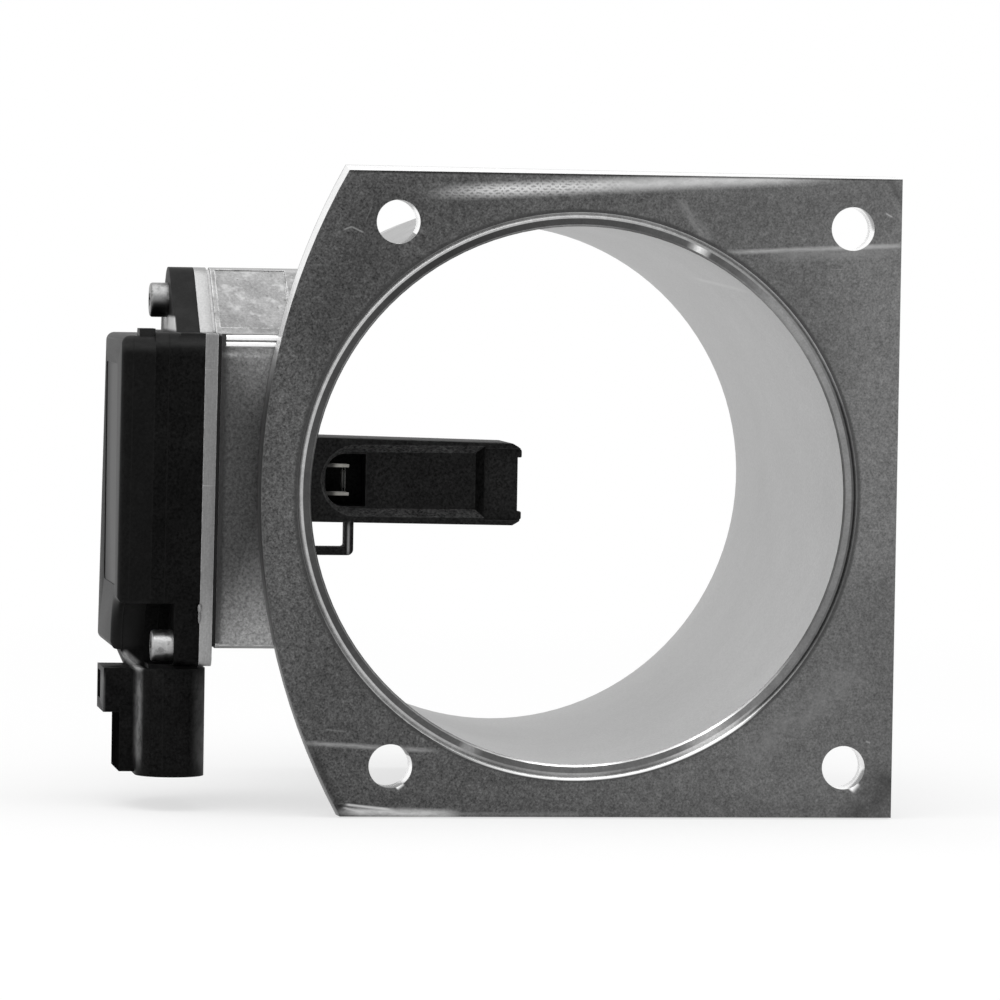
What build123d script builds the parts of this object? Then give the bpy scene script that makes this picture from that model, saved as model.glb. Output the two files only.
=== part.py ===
"""Mass airflow sensor: a cast duct with a square flange, and a hot-wire module on its side.

The origin lies on the bore's axis, in the flange's sealing face. +X is to the right as seen
from the intake, +Y follows the air through the duct, and +Z is up. Lengths are in millimetres.
"""
from build123d import *
from math import cos, radians, sin, sqrt, tan
import os

os.makedirs("parts", exist_ok=True)

# Cast duct: bore, tube, outlet spigot and flange
bore_r = 40.0
duct_length = 87.7
tube_wall = 4.0
spigot_wall = 3.0
spigot_length = 22.0
spigot_chamfer = 0.8
bore_mouth_chamfer = 0.3
flange_thickness = 5.0
flange_left = 35.0
flange_right = 48.1
flange_half_height = 47.75
flange_bulge = 12.4
flange_draft_left = 0.8
flange_draft_right = 0.36
flange_draft_foot = 0.2
flange_root_fillet = 2.5
bolt_hole_r = 3.25
bolt_inset_x = 7.4
bolt_inset_z = 7.5
rim_groove_inner_r = 41.5
rim_groove_width = 0.6
rim_groove_depth = 0.35
gusset_thickness = 3.0
gusset_length = 16.0

# Sensor pad on the duct's left side, and the stack of layers that stands on it
pad_reach = 52.95
gasket_thickness = 0.5
plate_thickness = 1.95
case_depth = 7.35
cover_depth = 4.95
ear_thickness = 3.7

# Outline of the pad, plate, case and cover, as seen from the left
front_top_y = 5.0
front_lean = 4.0
rear_top_y = 34.4
rear_lean = 8.8
shoulder_z = 23.3
pad_foot_z = -23.6
plate_foot_z = -26.3
case_foot_z = -24.4
plate_rear_margin = 1.8
outline_corner_r = 1.2
ear_front_slope = 41.0
ear_rear_slope = 45.0
ear_r = 5.0
upper_screw_y = 26.7
upper_screw_z = 27.9
lower_screw_y = 12.0
lower_screw_z = -23.4
screw_notch_r = 6.5
gasket_inset = 0.35

# Details of the pad
roof_side_border = 0.7
roof_foot_border = 1.2
roof_crown = 1.7
roof_recess = 0.45
roof_panel_width = 10.6
bead_r = 0.42
bead_sink = 0.1
bead_drop = 0.55
bead_pitch = 0.96
bead_margin = 0.6
bead_length = 9.2
face_recess = 0.3
face_top_z = 20.8

# Walls of the moulded case and cover
case_wall = 2.0
notch_floor = 1.4
lower_boss_r = 4.0
cover_lid = 1.6
cover_wall = 1.6
cover_edge_r = 1.2
cover_top_inset = 0.45
cover_lip_height = 1.2
cover_lip_wall = 0.8
lip_clearance = 0.1
label_recess = 0.15
label_width = 19.0
label_height = 33.0
label_corner_r = 1.0
label_centre_y = 22.5
label_centre_z = 2.0
snap_width = 2.35
snap_height = 1.05
snap_depth = 5.0
snap_front_gap = 1.0

# Connector that hangs below the case
shell_centre_x = 59.2
shell_r = 5.15
shell_wall = 1.35
shell_length = 26.0
shell_centre_y = 21.0
shell_top_z = -26.7
shell_mouth_z = -42.75
socket_floor_z = -29.4
shelf_z = -26.1
neck_overlap = 1.0
flare_foot_z = -28.4
flare_angle = 25.0
latch_reach = 9.75
latch_slot_depth = 1.4
latch_slot_length = 4.6
latch_slot_height = 4.2
latch_slot_border = 0.8
latch_length = 11.4
latch_top_z = -27.0
latch_bottom_z = -33.6
rib_reach = 7.4
rib_length = 13.2
rib_shortfall = 0.35
pin_count = 5
pin_pitch = 3.0
pin_width = 1.0
pin_thickness = 0.64
pin_tip_recess = 4.55
pin_bend_z = -28.0
pin_bend_x = 57.2
pin_top_z = -17.0
pin_tip_taper = 0.18
pin_gap = 0.02

# Circuit board and what is soldered to it
board_thickness = 0.8
board_corner_r = 0.5
board_gap = 0.6
board_foot_z = -19.4
board_top_z = 18.5
board_front_y = 10.8
board_rear_y = 32.0
chip_side = 9.0
chip_height = 1.3
chip_y = 16.0
chip_z = 13.0
transistor_width = 6.5
transistor_length = 8.0
transistor_height = 2.3
transistor_y = 25.0
transistor_z = 11.5
package_edge = 0.12
capacitor_count = 4
capacitor_length = 2.0
capacitor_width = 1.25
capacitor_height = 0.7
capacitor_pitch = 3.2
capacitor_y = 18.2
capacitor_z = -12.0

# Probe that reaches into the bore
probe_front_y = 14.0
probe_depth = 15.0
probe_root_z = 1.55
probe_tip_z = 1.05
probe_root_height = 12.7
probe_tip_height = 12.3
probe_tip_x = 7.0
tip_slope_length = 1.3
tip_slope_drop = 0.5
tip_slope_rise = 0.25
plug_centre_z = -0.5
plug_r = 12.0
plug_clearance = 0.15
plug_end_x = 40.6
neck_r = 6.8
neck_clearance = 0.2
neck_stand = 1.0
ring_r = 1.0
ring_x = 48.0
ring_groove_width = 2.4
ring_squeeze_gap = 0.02

# Inlet pocket, bypass passage and its rear lid
rail_thickness = 0.95
pocket_end_x = 31.5
pocket_depth = 2.0
pocket_draft = 30.0
inlet_centre_z = 1.4
inlet_left_x = 36.1
inlet_right_x = 29.9
inlet_half_height = 3.95
inlet_end_r = 3.0
step_x = 12.1
step_depth = 1.0
rail_overhang = 0.6
rail_nose_height = 2.1
rail_nose_length = 2.6
rail_nose_r = 0.45
passage_depth = 7.0
passage_end_x = 14.0
lid_thickness = 1.4
lid_border = 1.2
lid_clearance = 0.1
outlet_width = 4.6
outlet_margin = 1.2

# Guard loop under the probe, and the thermistor behind its leg
guard_front_y = 15.0
guard_depth = 3.2
guard_bar = 1.25
guard_leg_x = 33.0
guard_foot_z = -9.85
guard_corner_r = 0.9
thermistor_y = 20.0
thermistor_x = 31.85
thermistor_bead_r = 0.55
thermistor_bead_length = 1.9
thermistor_bead_z = -7.3
lead_r = 0.13
lead_spacing = 0.5
lead_embedded = 1.5

# Hot wire and compensation element on their posts
post_width = 0.5
post_front_y = 17.6
post_pitch_y = 3.2
post_upper_z = 3.5
post_lower_z = -0.75
post_end_x = 32.25
post_gap = 0.01
post_head = 0.8
wire_r = 0.12
wire_inset = 0.6
element_r = 0.3
element_length = 2.6

# Screws
screw_shank_r = 1.5
screw_hole_gap = 0.1
upper_head_r = 2.6
upper_head_height = 2.7
lower_head_r = 2.4
lower_head_height = 3.2
screw_head_edge = 0.35
screw_tip_chamfer = 0.4
drive_r = 1.25
drive_depth = 1.6
upper_screw_length = 14.0
plate_screw_head_r = 2.2
plate_screw_head_height = 1.3
plate_screw_length = 8.0
plate_screw_places = ((12.7, -13.0), (36.0, -14.0), (30.0, 18.4))

# Values worked out from the sizes above
pad_x = -pad_reach
plate_x = pad_x - gasket_thickness
case_x = plate_x - plate_thickness
ear_x = case_x - ear_thickness
seam_x = case_x - case_depth
cover_x = seam_x - cover_depth
tube_r = bore_r + tube_wall
spigot_r = bore_r + spigot_wall
probe_rear_y = probe_front_y + probe_depth
probe_centre_y = probe_front_y + probe_depth / 2
board_x = case_x - board_thickness
latch_x = -shell_centre_x - latch_reach
pin_tip_z = shell_mouth_z + pin_tip_recess
overlap = 1.0


# Shared shapes
def slab(sketch, x_from, x_to):
    """A plate with the sketch's outline in the Y-Z plane, between two places on X."""
    low, high = sorted((x_from, x_to))
    return extrude(Plane.YZ.offset(low) * sketch, amount=high - low)


def block(x_from, x_to, y_from, y_to, z_from, z_to):
    """A box between two corners."""
    size = (abs(x_to - x_from), abs(y_to - y_from), abs(z_to - z_from))
    centre = ((x_from + x_to) / 2, (y_from + y_to) / 2, (z_from + z_to) / 2)
    return Pos(*centre) * Box(*size)


def rod_x(radius, x_from, x_to, y, z):
    """A cylinder along X."""
    return slab(Pos(y, z) * Circle(radius), x_from, x_to)


def square_bar(width, x_from, x_to, y, z):
    """A square bar along X."""
    return slab(Pos(y, z) * Rectangle(width, width), x_from, x_to)


def rod_y(radius, y_from, y_to, x=0.0, z=0.0):
    """A cylinder along Y."""
    length = y_to - y_from
    return Pos(x, y_from + length / 2, z) * Rot(90, 0, 0) * Cylinder(radius, length)


def rod_z(radius, z_from, z_to, x, y):
    """A cylinder along Z."""
    length = z_to - z_from
    return Pos(x, y, z_from + length / 2) * Cylinder(radius, length)


def rounded_outline(points, radii):
    """A closed outline through corner points, each corner with a radius of its own."""
    face = make_face(Polyline(*points, close=True))
    for (y, z), radius in zip(points, radii):
        if radius > 0:
            corner = face.vertices().sort_by_distance(Vector(y, z, 0))[0]
            face = fillet(corner, radius)
    return face


# Outlines of the sensor stack
def front_y(z):
    """The front edge leans back towards its foot."""
    return front_top_y + front_lean * (shoulder_z - z) / (shoulder_z - case_foot_z)


def rear_y(z):
    """The rear edge leans back more than the front edge."""
    return rear_top_y + rear_lean * (shoulder_z - z) / (shoulder_z - case_foot_z)


def ear_foot_y(slope, side):
    """Where a line at this slope, touching the upper screw's ear, meets the shoulder."""
    drop = upper_screw_z - shoulder_z
    return upper_screw_y + side * (ear_r / sin(radians(slope)) + drop / tan(radians(slope)))


def ear_apex():
    """Where the ear's two sloping sides would meet."""
    front = ear_foot_y(ear_front_slope, -1)
    rear = ear_foot_y(ear_rear_slope, 1)
    rise_front = tan(radians(ear_front_slope))
    rise_rear = tan(radians(ear_rear_slope))
    y = (rear * rise_rear + front * rise_front) / (rise_front + rise_rear)
    return y, shoulder_z + (y - front) * rise_front


def eared_outline(foot_z, rear_margin, inset=0.0):
    """Outline with the ear of the upper screw: plate, gasket and pad."""
    points = [
        (front_y(foot_z), foot_z),
        (front_y(shoulder_z), shoulder_z),
        (ear_foot_y(ear_front_slope, -1), shoulder_z),
        ear_apex(),
        (rear_y(shoulder_z) + rear_margin, ear_apex()[1]
         - (rear_y(shoulder_z) + rear_margin - ear_apex()[0]) * tan(radians(ear_rear_slope))),
        (rear_y(foot_z) + rear_margin, foot_z),
    ]
    radii = [outline_corner_r, 0, 0, ear_r, outline_corner_r, outline_corner_r]
    face = rounded_outline(points, radii)
    return offset(face, amount=-inset) if inset else face


def plain_body_outline(top_z):
    """Outline of the case and the cover, before the notch is cut."""
    points = [
        (front_y(case_foot_z), case_foot_z),
        (front_y(top_z), top_z),
        (rear_y(top_z), top_z),
        (rear_y(case_foot_z), case_foot_z),
    ]
    return rounded_outline(points, [outline_corner_r] * 4)


def body_outline(top_z):
    """Outline of the case and the cover, with the notch for the lower screw."""
    return plain_body_outline(top_z) - screw_notch()


def screw_notch():
    """Room for the lower screw and its driver, open to the front and below."""
    reach = lower_screw_y + screw_notch_r
    top = lower_screw_z + screw_notch_r
    start = front_top_y - screw_notch_r
    foot = case_foot_z - screw_notch_r
    points = [(start, foot), (start, top), (reach, top), (reach, foot)]
    return rounded_outline(points, [0, 0, screw_notch_r, 0])


# Housing
def flange_outline(draft_left, draft_right, draft_foot):
    """Three straight edges, and a left edge that bulges in one arc."""
    top_left = (-flange_left, flange_half_height + draft_left)
    top_right = (flange_right, flange_half_height + draft_right)
    bottom_left = (-flange_left, -flange_half_height - draft_foot)
    bottom_right = (flange_right, -flange_half_height - draft_foot)
    return make_face(
        Polyline(top_left, top_right, bottom_right, bottom_left)
        + ThreePointArc(bottom_left, (-flange_left - flange_bulge, 0), top_left)
    )


def flange():
    """Flange plate, whose top and foot widen a little towards the rear, as drawn from the die."""
    front = Plane.XZ * flange_outline(0, 0, 0)
    rear = Plane.XZ.offset(-flange_thickness) * flange_outline(
        flange_draft_left, flange_draft_right, flange_draft_foot)
    return loft([front, rear], ruled=True)


def bolt_places():
    """X and Z of the four bolt holes, each at the same distance from its two edges."""
    height = flange_half_height - bolt_inset_z
    return [(x, z) for x in (bolt_inset_x - flange_left, flange_right - bolt_inset_x)
            for z in (-height, height)]


def tube():
    """Tube with a root fillet at the flange and a stepped spigot for the hose."""
    step_y = duct_length - spigot_length
    profile = [
        (overlap, 0),
        (overlap, tube_r + flange_root_fillet),
        (flange_thickness, tube_r + flange_root_fillet),
        (flange_thickness + flange_root_fillet, tube_r),
        (step_y, tube_r),
        (step_y + tube_r - spigot_r, spigot_r),
        (duct_length - spigot_chamfer, spigot_r),
        (duct_length, spigot_r - spigot_chamfer),
        (duct_length, 0),
    ]
    return revolve(Plane.YZ * make_face(Polyline(*profile, close=True)), Axis.Y)


def bore():
    """The duct's bore, with a small chamfer at its front mouth."""
    mouth = bore_r + bore_mouth_chamfer
    profile = [
        (-overlap, 0),
        (-overlap, mouth),
        (0, mouth),
        (bore_mouth_chamfer, bore_r),
        (duct_length + overlap, bore_r),
        (duct_length + overlap, 0),
    ]
    return revolve(Plane.YZ * make_face(Polyline(*profile, close=True)), Axis.Y)


def rim_groove():
    """Fine ring turned into the sealing face around the bore."""
    middle = rim_groove_inner_r + rim_groove_width / 2
    profile = [
        (-overlap, rim_groove_inner_r),
        (0, rim_groove_inner_r),
        (rim_groove_depth, middle),
        (0, rim_groove_inner_r + rim_groove_width),
        (-overlap, rim_groove_inner_r + rim_groove_width),
    ]
    return revolve(Plane.YZ * make_face(Polyline(*profile, close=True)), Axis.Y)


def gussets():
    """Ribs that brace the flange against the tube: top, bottom and right."""
    top = flange_half_height - bolt_hole_r / 2
    side = flange_right - bolt_hole_r / 2
    shapes = []
    for turn, reach in ((0, top), (90, side), (180, top)):
        profile = make_face(Polyline(
            (flange_thickness - overlap, bore_r + overlap),
            (flange_thickness - overlap, reach),
            (flange_thickness, reach),
            (flange_thickness + gusset_length, tube_r),
            (flange_thickness + gusset_length, bore_r + overlap), close=True))
        rib = extrude(Plane.YZ * profile, amount=gusset_thickness / 2, both=True)
        shapes.append(Rot(0, turn, 0) * rib)
    return shapes


def roof_plane():
    """The middle of the pad's sloping roof, with Z along its outward normal."""
    y_low = ear_foot_y(ear_front_slope, -1)
    y_high = upper_screw_y - ear_r * sin(radians(ear_front_slope))
    rise = tan(radians(ear_front_slope))
    middle_y = (y_low + y_high) / 2
    middle_z = shoulder_z + (middle_y - y_low) * rise
    normal = (0, -sin(radians(ear_front_slope)), cos(radians(ear_front_slope)))
    length = (y_high - y_low) / cos(radians(ear_front_slope))
    return Plane(origin=(pad_x, middle_y, middle_z), x_dir=(1, 0, 0), z_dir=normal), length


def roof_panel():
    """Shallow recess in the roof, which runs out where the roof curves over."""
    plane, length = roof_plane()
    low = roof_foot_border - length / 2
    high = length / 2 + roof_crown
    pocket = Box(roof_panel_width, high - low, 2 * roof_recess)
    return plane * Pos(roof_side_border + roof_panel_width / 2, (low + high) / 2, 0) * pocket


def sensor_pad():
    """Pad for the module: outline of the plate, beads on its front edge, a recess in its roof."""
    inner_x = -sqrt(tube_r ** 2 - upper_screw_z ** 2) + tube_wall
    pad = slab(eared_outline(pad_foot_z, plate_rear_margin), pad_x, inner_x)
    pad -= roof_panel()
    for number in range(2):
        z = shoulder_z - bead_drop - number * bead_pitch
        start = pad_x + bead_margin
        pad += rod_x(bead_r, start, start + bead_length, front_y(z) + bead_sink, z)
    sunk = make_face(Polyline(
        (front_y(face_top_z) - overlap, face_top_z),
        (front_y(face_top_z) + face_recess, face_top_z),
        (front_y(pad_foot_z) + face_recess, pad_foot_z + bead_margin),
        (front_y(pad_foot_z) - overlap, pad_foot_z + bead_margin), close=True))
    return pad - slab(sunk, pad_x + bead_margin, pad_x + bead_margin + bead_length)


def make_housing():
    """Die-cast duct: flange, tube and pad in one casting, then machined."""
    body = flange() + tube() + sensor_pad()
    for rib in gussets():
        body += rib
    body -= bore()
    body -= rim_groove()
    for x, z in bolt_places():
        body -= rod_y(bolt_hole_r, -overlap, duct_length / 2, x, z)
    body -= rod_x(plug_r + plug_clearance, pad_x - overlap, -bore_r + plug_r, probe_centre_y, plug_centre_z)
    depth = upper_screw_length - ear_thickness - plate_thickness - gasket_thickness + overlap
    body -= rod_x(screw_shank_r, pad_x - overlap, pad_x + depth, upper_screw_y, upper_screw_z)
    depth = plate_screw_length - plate_thickness - gasket_thickness + overlap
    for y, z in plate_screw_places:
        body -= rod_x(screw_shank_r, pad_x - overlap, pad_x + depth, y, z)
    return body


# Plate and gasket
def screw_holes(radius, x_from, x_to):
    """Clearance holes for the screws that pass through a layer."""
    holes = [rod_x(radius, x_from, x_to, upper_screw_y, upper_screw_z)]
    for y, z in plate_screw_places:
        holes.append(rod_x(radius, x_from, x_to, y, z))
    return holes


def make_base_plate():
    """Stamped aluminium plate that carries the module and takes its heat to the duct."""
    plate = slab(eared_outline(plate_foot_z, plate_rear_margin), case_x, plate_x)
    plate -= rod_x(neck_r + neck_clearance, case_x - overlap, plate_x + overlap,
                   probe_centre_y, plug_centre_z)
    for hole in screw_holes(screw_shank_r + screw_hole_gap, case_x - overlap, plate_x + overlap):
        plate -= hole
    plate -= rod_x(screw_shank_r, case_x - overlap, plate_x + overlap, lower_screw_y, lower_screw_z)
    return plate


def make_gasket():
    """Thin gasket between the plate and the pad, a little inside their edges."""
    sheet = slab(eared_outline(pad_foot_z, plate_rear_margin, gasket_inset), plate_x, pad_x)
    sheet -= rod_x(plug_r + plug_clearance, plate_x - overlap, pad_x + overlap,
                   probe_centre_y, plug_centre_z)
    for hole in screw_holes(screw_shank_r + screw_hole_gap, plate_x - overlap, pad_x + overlap):
        sheet -= hole
    return sheet


# Case
def stadium(radius, length):
    """Oval of the connector, seen from below, long in Y."""
    return Rot(0, 0, 90) * SlotOverall(length, 2 * radius)


def connector_neck():
    """Neck between the case and the connector: a flared oval, and a shelf under the screw."""
    half = shell_length / 2
    rise = case_foot_z - flare_foot_z
    oval = Pos(-shell_centre_x, shell_centre_y, flare_foot_z) * stadium(shell_r, shell_length)
    neck = extrude(oval, amount=rise, taper=-flare_angle)
    notch_end = lower_screw_y + screw_notch_r
    rear = shell_centre_y + shell_length
    neck &= block(latch_x, case_x, notch_end, rear, flare_foot_z, case_foot_z)
    neck += block(seam_x, case_x, notch_end, shell_centre_y + half, shell_top_z - overlap,
                  case_foot_z + neck_overlap)
    neck_front = shell_centre_y - half + shell_r / 2
    neck += block(seam_x, case_x, neck_front, notch_end + overlap, shell_top_z - overlap, shelf_z)
    return neck


def connector_shell():
    """Oval connector shell with its neck, the latch block and the key rib."""
    place = Pos(-shell_centre_x, shell_centre_y, shell_mouth_z)
    shell = place * extrude(stadium(shell_r, shell_length), amount=shell_top_z - shell_mouth_z)
    shell += connector_neck()
    latch_end = shell_centre_y + latch_length / 2
    shell += block(latch_x, -shell_centre_x, shell_centre_y - latch_length / 2,
                   latch_end, latch_bottom_z, latch_top_z)
    shell += block(-shell_centre_x - rib_reach, -shell_centre_x, shell_centre_y - rib_length / 2,
                   shell_centre_y + rib_length / 2, shell_mouth_z + rib_shortfall,
                   latch_bottom_z + overlap)
    slot_end = latch_end - latch_slot_border
    slot_top = latch_top_z - latch_slot_border
    return shell - block(latch_x - overlap, latch_x + latch_slot_depth, slot_end - latch_slot_length,
                         slot_end, slot_top - latch_slot_height, slot_top)


def connector_socket():
    """Hollow that takes the plug."""
    inner = stadium(shell_r - shell_wall, shell_length - 2 * shell_wall)
    hollow = extrude(inner, amount=socket_floor_z - shell_mouth_z + overlap)
    return Pos(-shell_centre_x, shell_centre_y, shell_mouth_z - overlap) * hollow


def pin_y(number):
    """Place of one connector pin along the row."""
    return shell_centre_y + (number - (pin_count - 1) / 2) * pin_pitch


def pin_shape(number, margin=0.0):
    """One pin of bent strip: blade, jog behind the screw, and a foot that meets the board."""
    half = pin_thickness / 2
    points = [
        (-shell_centre_x - half, pin_tip_z),
        (-shell_centre_x - half, pin_bend_z + half),
        (-pin_bend_x - half, pin_bend_z + half),
        (-pin_bend_x - half, pin_top_z),
        (board_x, pin_top_z),
        (board_x, pin_top_z - pin_thickness),
        (-pin_bend_x + half, pin_top_z - pin_thickness),
        (-pin_bend_x + half, pin_bend_z - half),
        (-shell_centre_x + half, pin_bend_z - half),
        (-shell_centre_x + half, pin_tip_z),
    ]
    profile = make_face(Polyline(*points, close=True))
    if margin:
        profile = offset(profile, amount=margin)
    width = pin_width + 2 * margin
    face = Plane.XZ.offset(-(pin_y(number) + width / 2)) * profile
    return extrude(face, amount=width)


def make_case():
    """Moulded case: walls around the circuit, two screw ears and the connector shell."""
    body = slab(body_outline(shoulder_z), ear_x, seam_x)
    body += slab(eared_outline(plate_foot_z, plate_rear_margin), case_x, ear_x)
    body += connector_shell()
    cavity = offset(body_outline(shoulder_z), amount=-case_wall)
    body -= slab(cavity, ear_x + notch_floor, seam_x - overlap)
    body -= slab(board_room(case_wall, lower_boss_r), case_x + overlap, ear_x + notch_floor)
    body -= connector_socket()
    for number in range(pin_count):
        body -= pin_shape(number, pin_gap)
    hole = screw_shank_r + screw_hole_gap
    body -= rod_x(hole, case_x + overlap, ear_x - overlap, upper_screw_y, upper_screw_z)
    body -= rod_x(hole, case_x + overlap, ear_x - overlap, lower_screw_y, lower_screw_z)
    return body


def board_room(margin, boss_r):
    """Room next to the plate: inside the case's walls, and clear of the lower screw's boss."""
    room = offset(plain_body_outline(shoulder_z), amount=-margin)
    return room - Pos(lower_screw_y, lower_screw_z) * Circle(boss_r)


# Cover
def make_cover():
    """Moulded lid: rounded rim, shallow label field, snap tab, and a lip inside the case."""
    outline = body_outline(shoulder_z - cover_top_inset)
    lid = slab(outline, seam_x, cover_x)
    rim = lid.faces().sort_by(Axis.X)[0].outer_wire().edges()
    lid = fillet(rim, cover_edge_r)
    field = Pos(label_centre_y, label_centre_z) * RectangleRounded(
        label_width, label_height, label_corner_r)
    lid -= slab(field, cover_x - overlap, cover_x + label_recess)
    lid -= slab(offset(outline, amount=-cover_wall), seam_x + overlap, cover_x + cover_lid)
    lip_outer = offset(body_outline(shoulder_z), amount=-case_wall - lip_clearance)
    lip_inner = offset(lip_outer, amount=-cover_lip_wall)
    lid += slab(lip_outer - lip_inner, seam_x + cover_lip_height, cover_x + cover_lid - overlap / 2)
    top = shoulder_z - cover_top_inset
    y_front = front_y(top) + snap_front_gap
    tab = make_face(Polyline(
        (y_front, top - overlap / 2), (y_front, top + snap_height),
        (y_front + snap_depth - snap_height, top + snap_height),
        (y_front + snap_depth, top - overlap / 2), close=True))
    return lid + slab(tab, seam_x, seam_x - snap_width)


# Circuit
def make_board():
    """Hybrid circuit board bonded to the plate, with a round hole over the probe's neck."""
    face = rounded_outline(
        [(board_front_y, board_foot_z), (board_front_y, board_top_z),
         (board_rear_y, board_top_z), (board_rear_y, board_foot_z)], [board_corner_r] * 4)
    face &= board_room(case_wall + board_gap, lower_boss_r + board_gap)
    board = slab(face, case_x, board_x)
    board -= rod_x(neck_r + neck_clearance, case_x + overlap, board_x - overlap,
                   probe_centre_y, plug_centre_z)
    clear = plate_screw_head_r + 2 * screw_hole_gap
    for y, z in plate_screw_places:
        board -= rod_x(clear, case_x + overlap, board_x - overlap, y, z)
    return board


def make_chip(length, width, height, y, z):
    """A flat package that sits on the board, with its top edge eased."""
    package = block(board_x, board_x - height, y - width / 2, y + width / 2,
                    z - length / 2, z + length / 2)
    top = package.faces().sort_by(Axis.X)[0].edges()
    return chamfer(top, package_edge)


def make_connector_pin(number):
    """Bent pin with a tapered tip."""
    pin = pin_shape(number)
    return chamfer(pin.faces().sort_by(Axis.Z)[0].edges(), pin_tip_taper)


# Probe
def probe_bar():
    """Bar across the bore, slightly lower and slimmer at its tip, where its edges slope off."""
    root = Plane.YZ.offset(-plug_end_x - overlap)
    tip = Plane.YZ.offset(-probe_tip_x)
    root_face = Pos(probe_centre_y, probe_root_z) * Rectangle(probe_depth, probe_root_height)
    tip_face = Pos(probe_centre_y, probe_tip_z) * Rectangle(probe_depth, probe_tip_height)
    bar = loft([root * root_face, tip * tip_face])
    for side in (-1, 1):
        outer = probe_tip_z + side * probe_tip_height / 2
        slope = make_face(Polyline(
            (-probe_tip_x - tip_slope_length, outer + side * tip_slope_rise),
            (-probe_tip_x, outer - side * tip_slope_drop),
            (-probe_tip_x + overlap, outer - side * tip_slope_drop),
            (-probe_tip_x + overlap, outer + side * overlap),
            (-probe_tip_x - tip_slope_length, outer + side * overlap), close=True))
        bar -= extrude(Plane.XZ.offset(-(probe_rear_y + overlap)) * slope, amount=probe_depth + 2 * overlap)
    return bar


def probe_rails():
    """Hooked noses with which the front rails stand out beyond the tip."""
    noses = []
    for side in (-1, 1):
        outer = probe_tip_z + side * (probe_tip_height / 2 - tip_slope_drop)
        inner = outer - side * (rail_nose_height - tip_slope_drop)
        start = -probe_tip_x - rail_nose_length + rail_overhang
        end = -probe_tip_x + rail_overhang
        points = [(start, outer), (-probe_tip_x, outer), (end, outer - side * tip_slope_drop),
                  (end, inner), (start, inner)]
        face = rounded_outline(points, [0, rail_nose_r, rail_nose_r, rail_nose_r / 2, 0])
        depth = pocket_depth + step_depth
        noses.append(extrude(Plane.XZ.offset(-(probe_front_y + depth)) * face, amount=depth))
    return noses


def inlet_pocket():
    """Trough in the probe's front with sloping walls: round at its root end, open at the tip."""
    half = probe_root_height / 2 - rail_thickness
    trough = Pos(-pocket_end_x, inlet_centre_z) * Circle(half)
    trough += Pos(-(pocket_end_x + step_x) / 2, inlet_centre_z) * Rectangle(
        pocket_end_x - step_x, 2 * half)
    deep = extrude(Plane.XZ.offset(-probe_front_y) * trough, amount=-pocket_depth, taper=pocket_draft)
    ledge_end = -probe_tip_x + rail_overhang + overlap
    ledge = block(-step_x, ledge_end, probe_front_y - overlap, probe_front_y + step_depth,
                  probe_tip_z - half, probe_tip_z + half)
    return deep + ledge


def inlet_hole():
    """Mouth of the bypass, which the air enters past the sensing wires."""
    width = inlet_left_x - inlet_right_x
    face = Pos(-(inlet_left_x + inlet_right_x) / 2, inlet_centre_z) * Rectangle(width, 2 * inlet_half_height)
    left = face.vertices().group_by(Axis.X)[0]
    face = fillet(left, inlet_end_r)
    depth = probe_depth - passage_depth + overlap
    return extrude(Plane.XZ.offset(-probe_front_y) * face, amount=-depth)


def bypass_passage():
    """Channel moulded into the probe's rear, and the rebate that its lid sits in."""
    low = inlet_centre_z - inlet_half_height
    high = inlet_centre_z + inlet_half_height
    channel = block(-inlet_left_x, -passage_end_x, probe_rear_y - passage_depth, probe_rear_y, low, high)
    rebate = block(-inlet_left_x - lid_border, -passage_end_x + lid_border,
                   probe_rear_y - lid_thickness, probe_rear_y + overlap, low - lid_border, high + lid_border)
    return channel + rebate


def guard_loop():
    """L-shaped bar that shields the thermistor, moulded onto the probe's underside."""
    top = probe_root_z - probe_root_height / 2 + overlap
    points = [
        (-plug_end_x - overlap, guard_foot_z),
        (-guard_leg_x + guard_bar, guard_foot_z),
        (-guard_leg_x + guard_bar, top),
        (-guard_leg_x, top),
        (-guard_leg_x, guard_foot_z + guard_bar),
        (-plug_end_x - overlap, guard_foot_z + guard_bar),
    ]
    radii = [0, guard_corner_r, 0, 0, guard_corner_r / 2, 0]
    face = rounded_outline(points, radii)
    return extrude(Plane.XZ.offset(-guard_front_y) * face, amount=-guard_depth)


def post_places():
    """Y and Z of the four sensor posts: a front pair and a rear pair."""
    return [(post_front_y + row * post_pitch_y, z) for row in range(2) for z in (post_upper_z, post_lower_z)]


def make_probe_body():
    """Moulded probe: neck, sealed plug, bar with its bypass, and the guard loop."""
    body = rod_x(neck_r, case_x - neck_stand, plate_x + overlap, probe_centre_y, plug_centre_z)
    body += rod_x(plug_r, plate_x, -plug_end_x, probe_centre_y, plug_centre_z)
    groove = rod_x(plug_r + overlap, -ring_x - ring_groove_width / 2, -ring_x + ring_groove_width / 2,
                   probe_centre_y, plug_centre_z)
    groove_floor = plug_r + plug_clearance - 2 * ring_r - 2 * ring_squeeze_gap
    groove -= rod_x(groove_floor, -ring_x - ring_groove_width, -ring_x + ring_groove_width,
                    probe_centre_y, plug_centre_z)
    body -= groove
    body += probe_bar()
    for nose in probe_rails():
        body += nose
    body -= inlet_pocket()
    body -= inlet_hole()
    body -= bypass_passage()
    body += guard_loop()
    for y, z in post_places():
        body -= square_bar(post_width + 2 * post_gap, case_x - neck_stand - overlap, -post_end_x, y, z)
    for side in (-1, 1):
        y = thermistor_y + side * lead_spacing / 2
        top = probe_root_z - probe_root_height / 2 + lead_embedded
        body -= rod_z(lead_r + post_gap, guard_foot_z + guard_bar, top, -thermistor_x, y)
    return body


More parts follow.
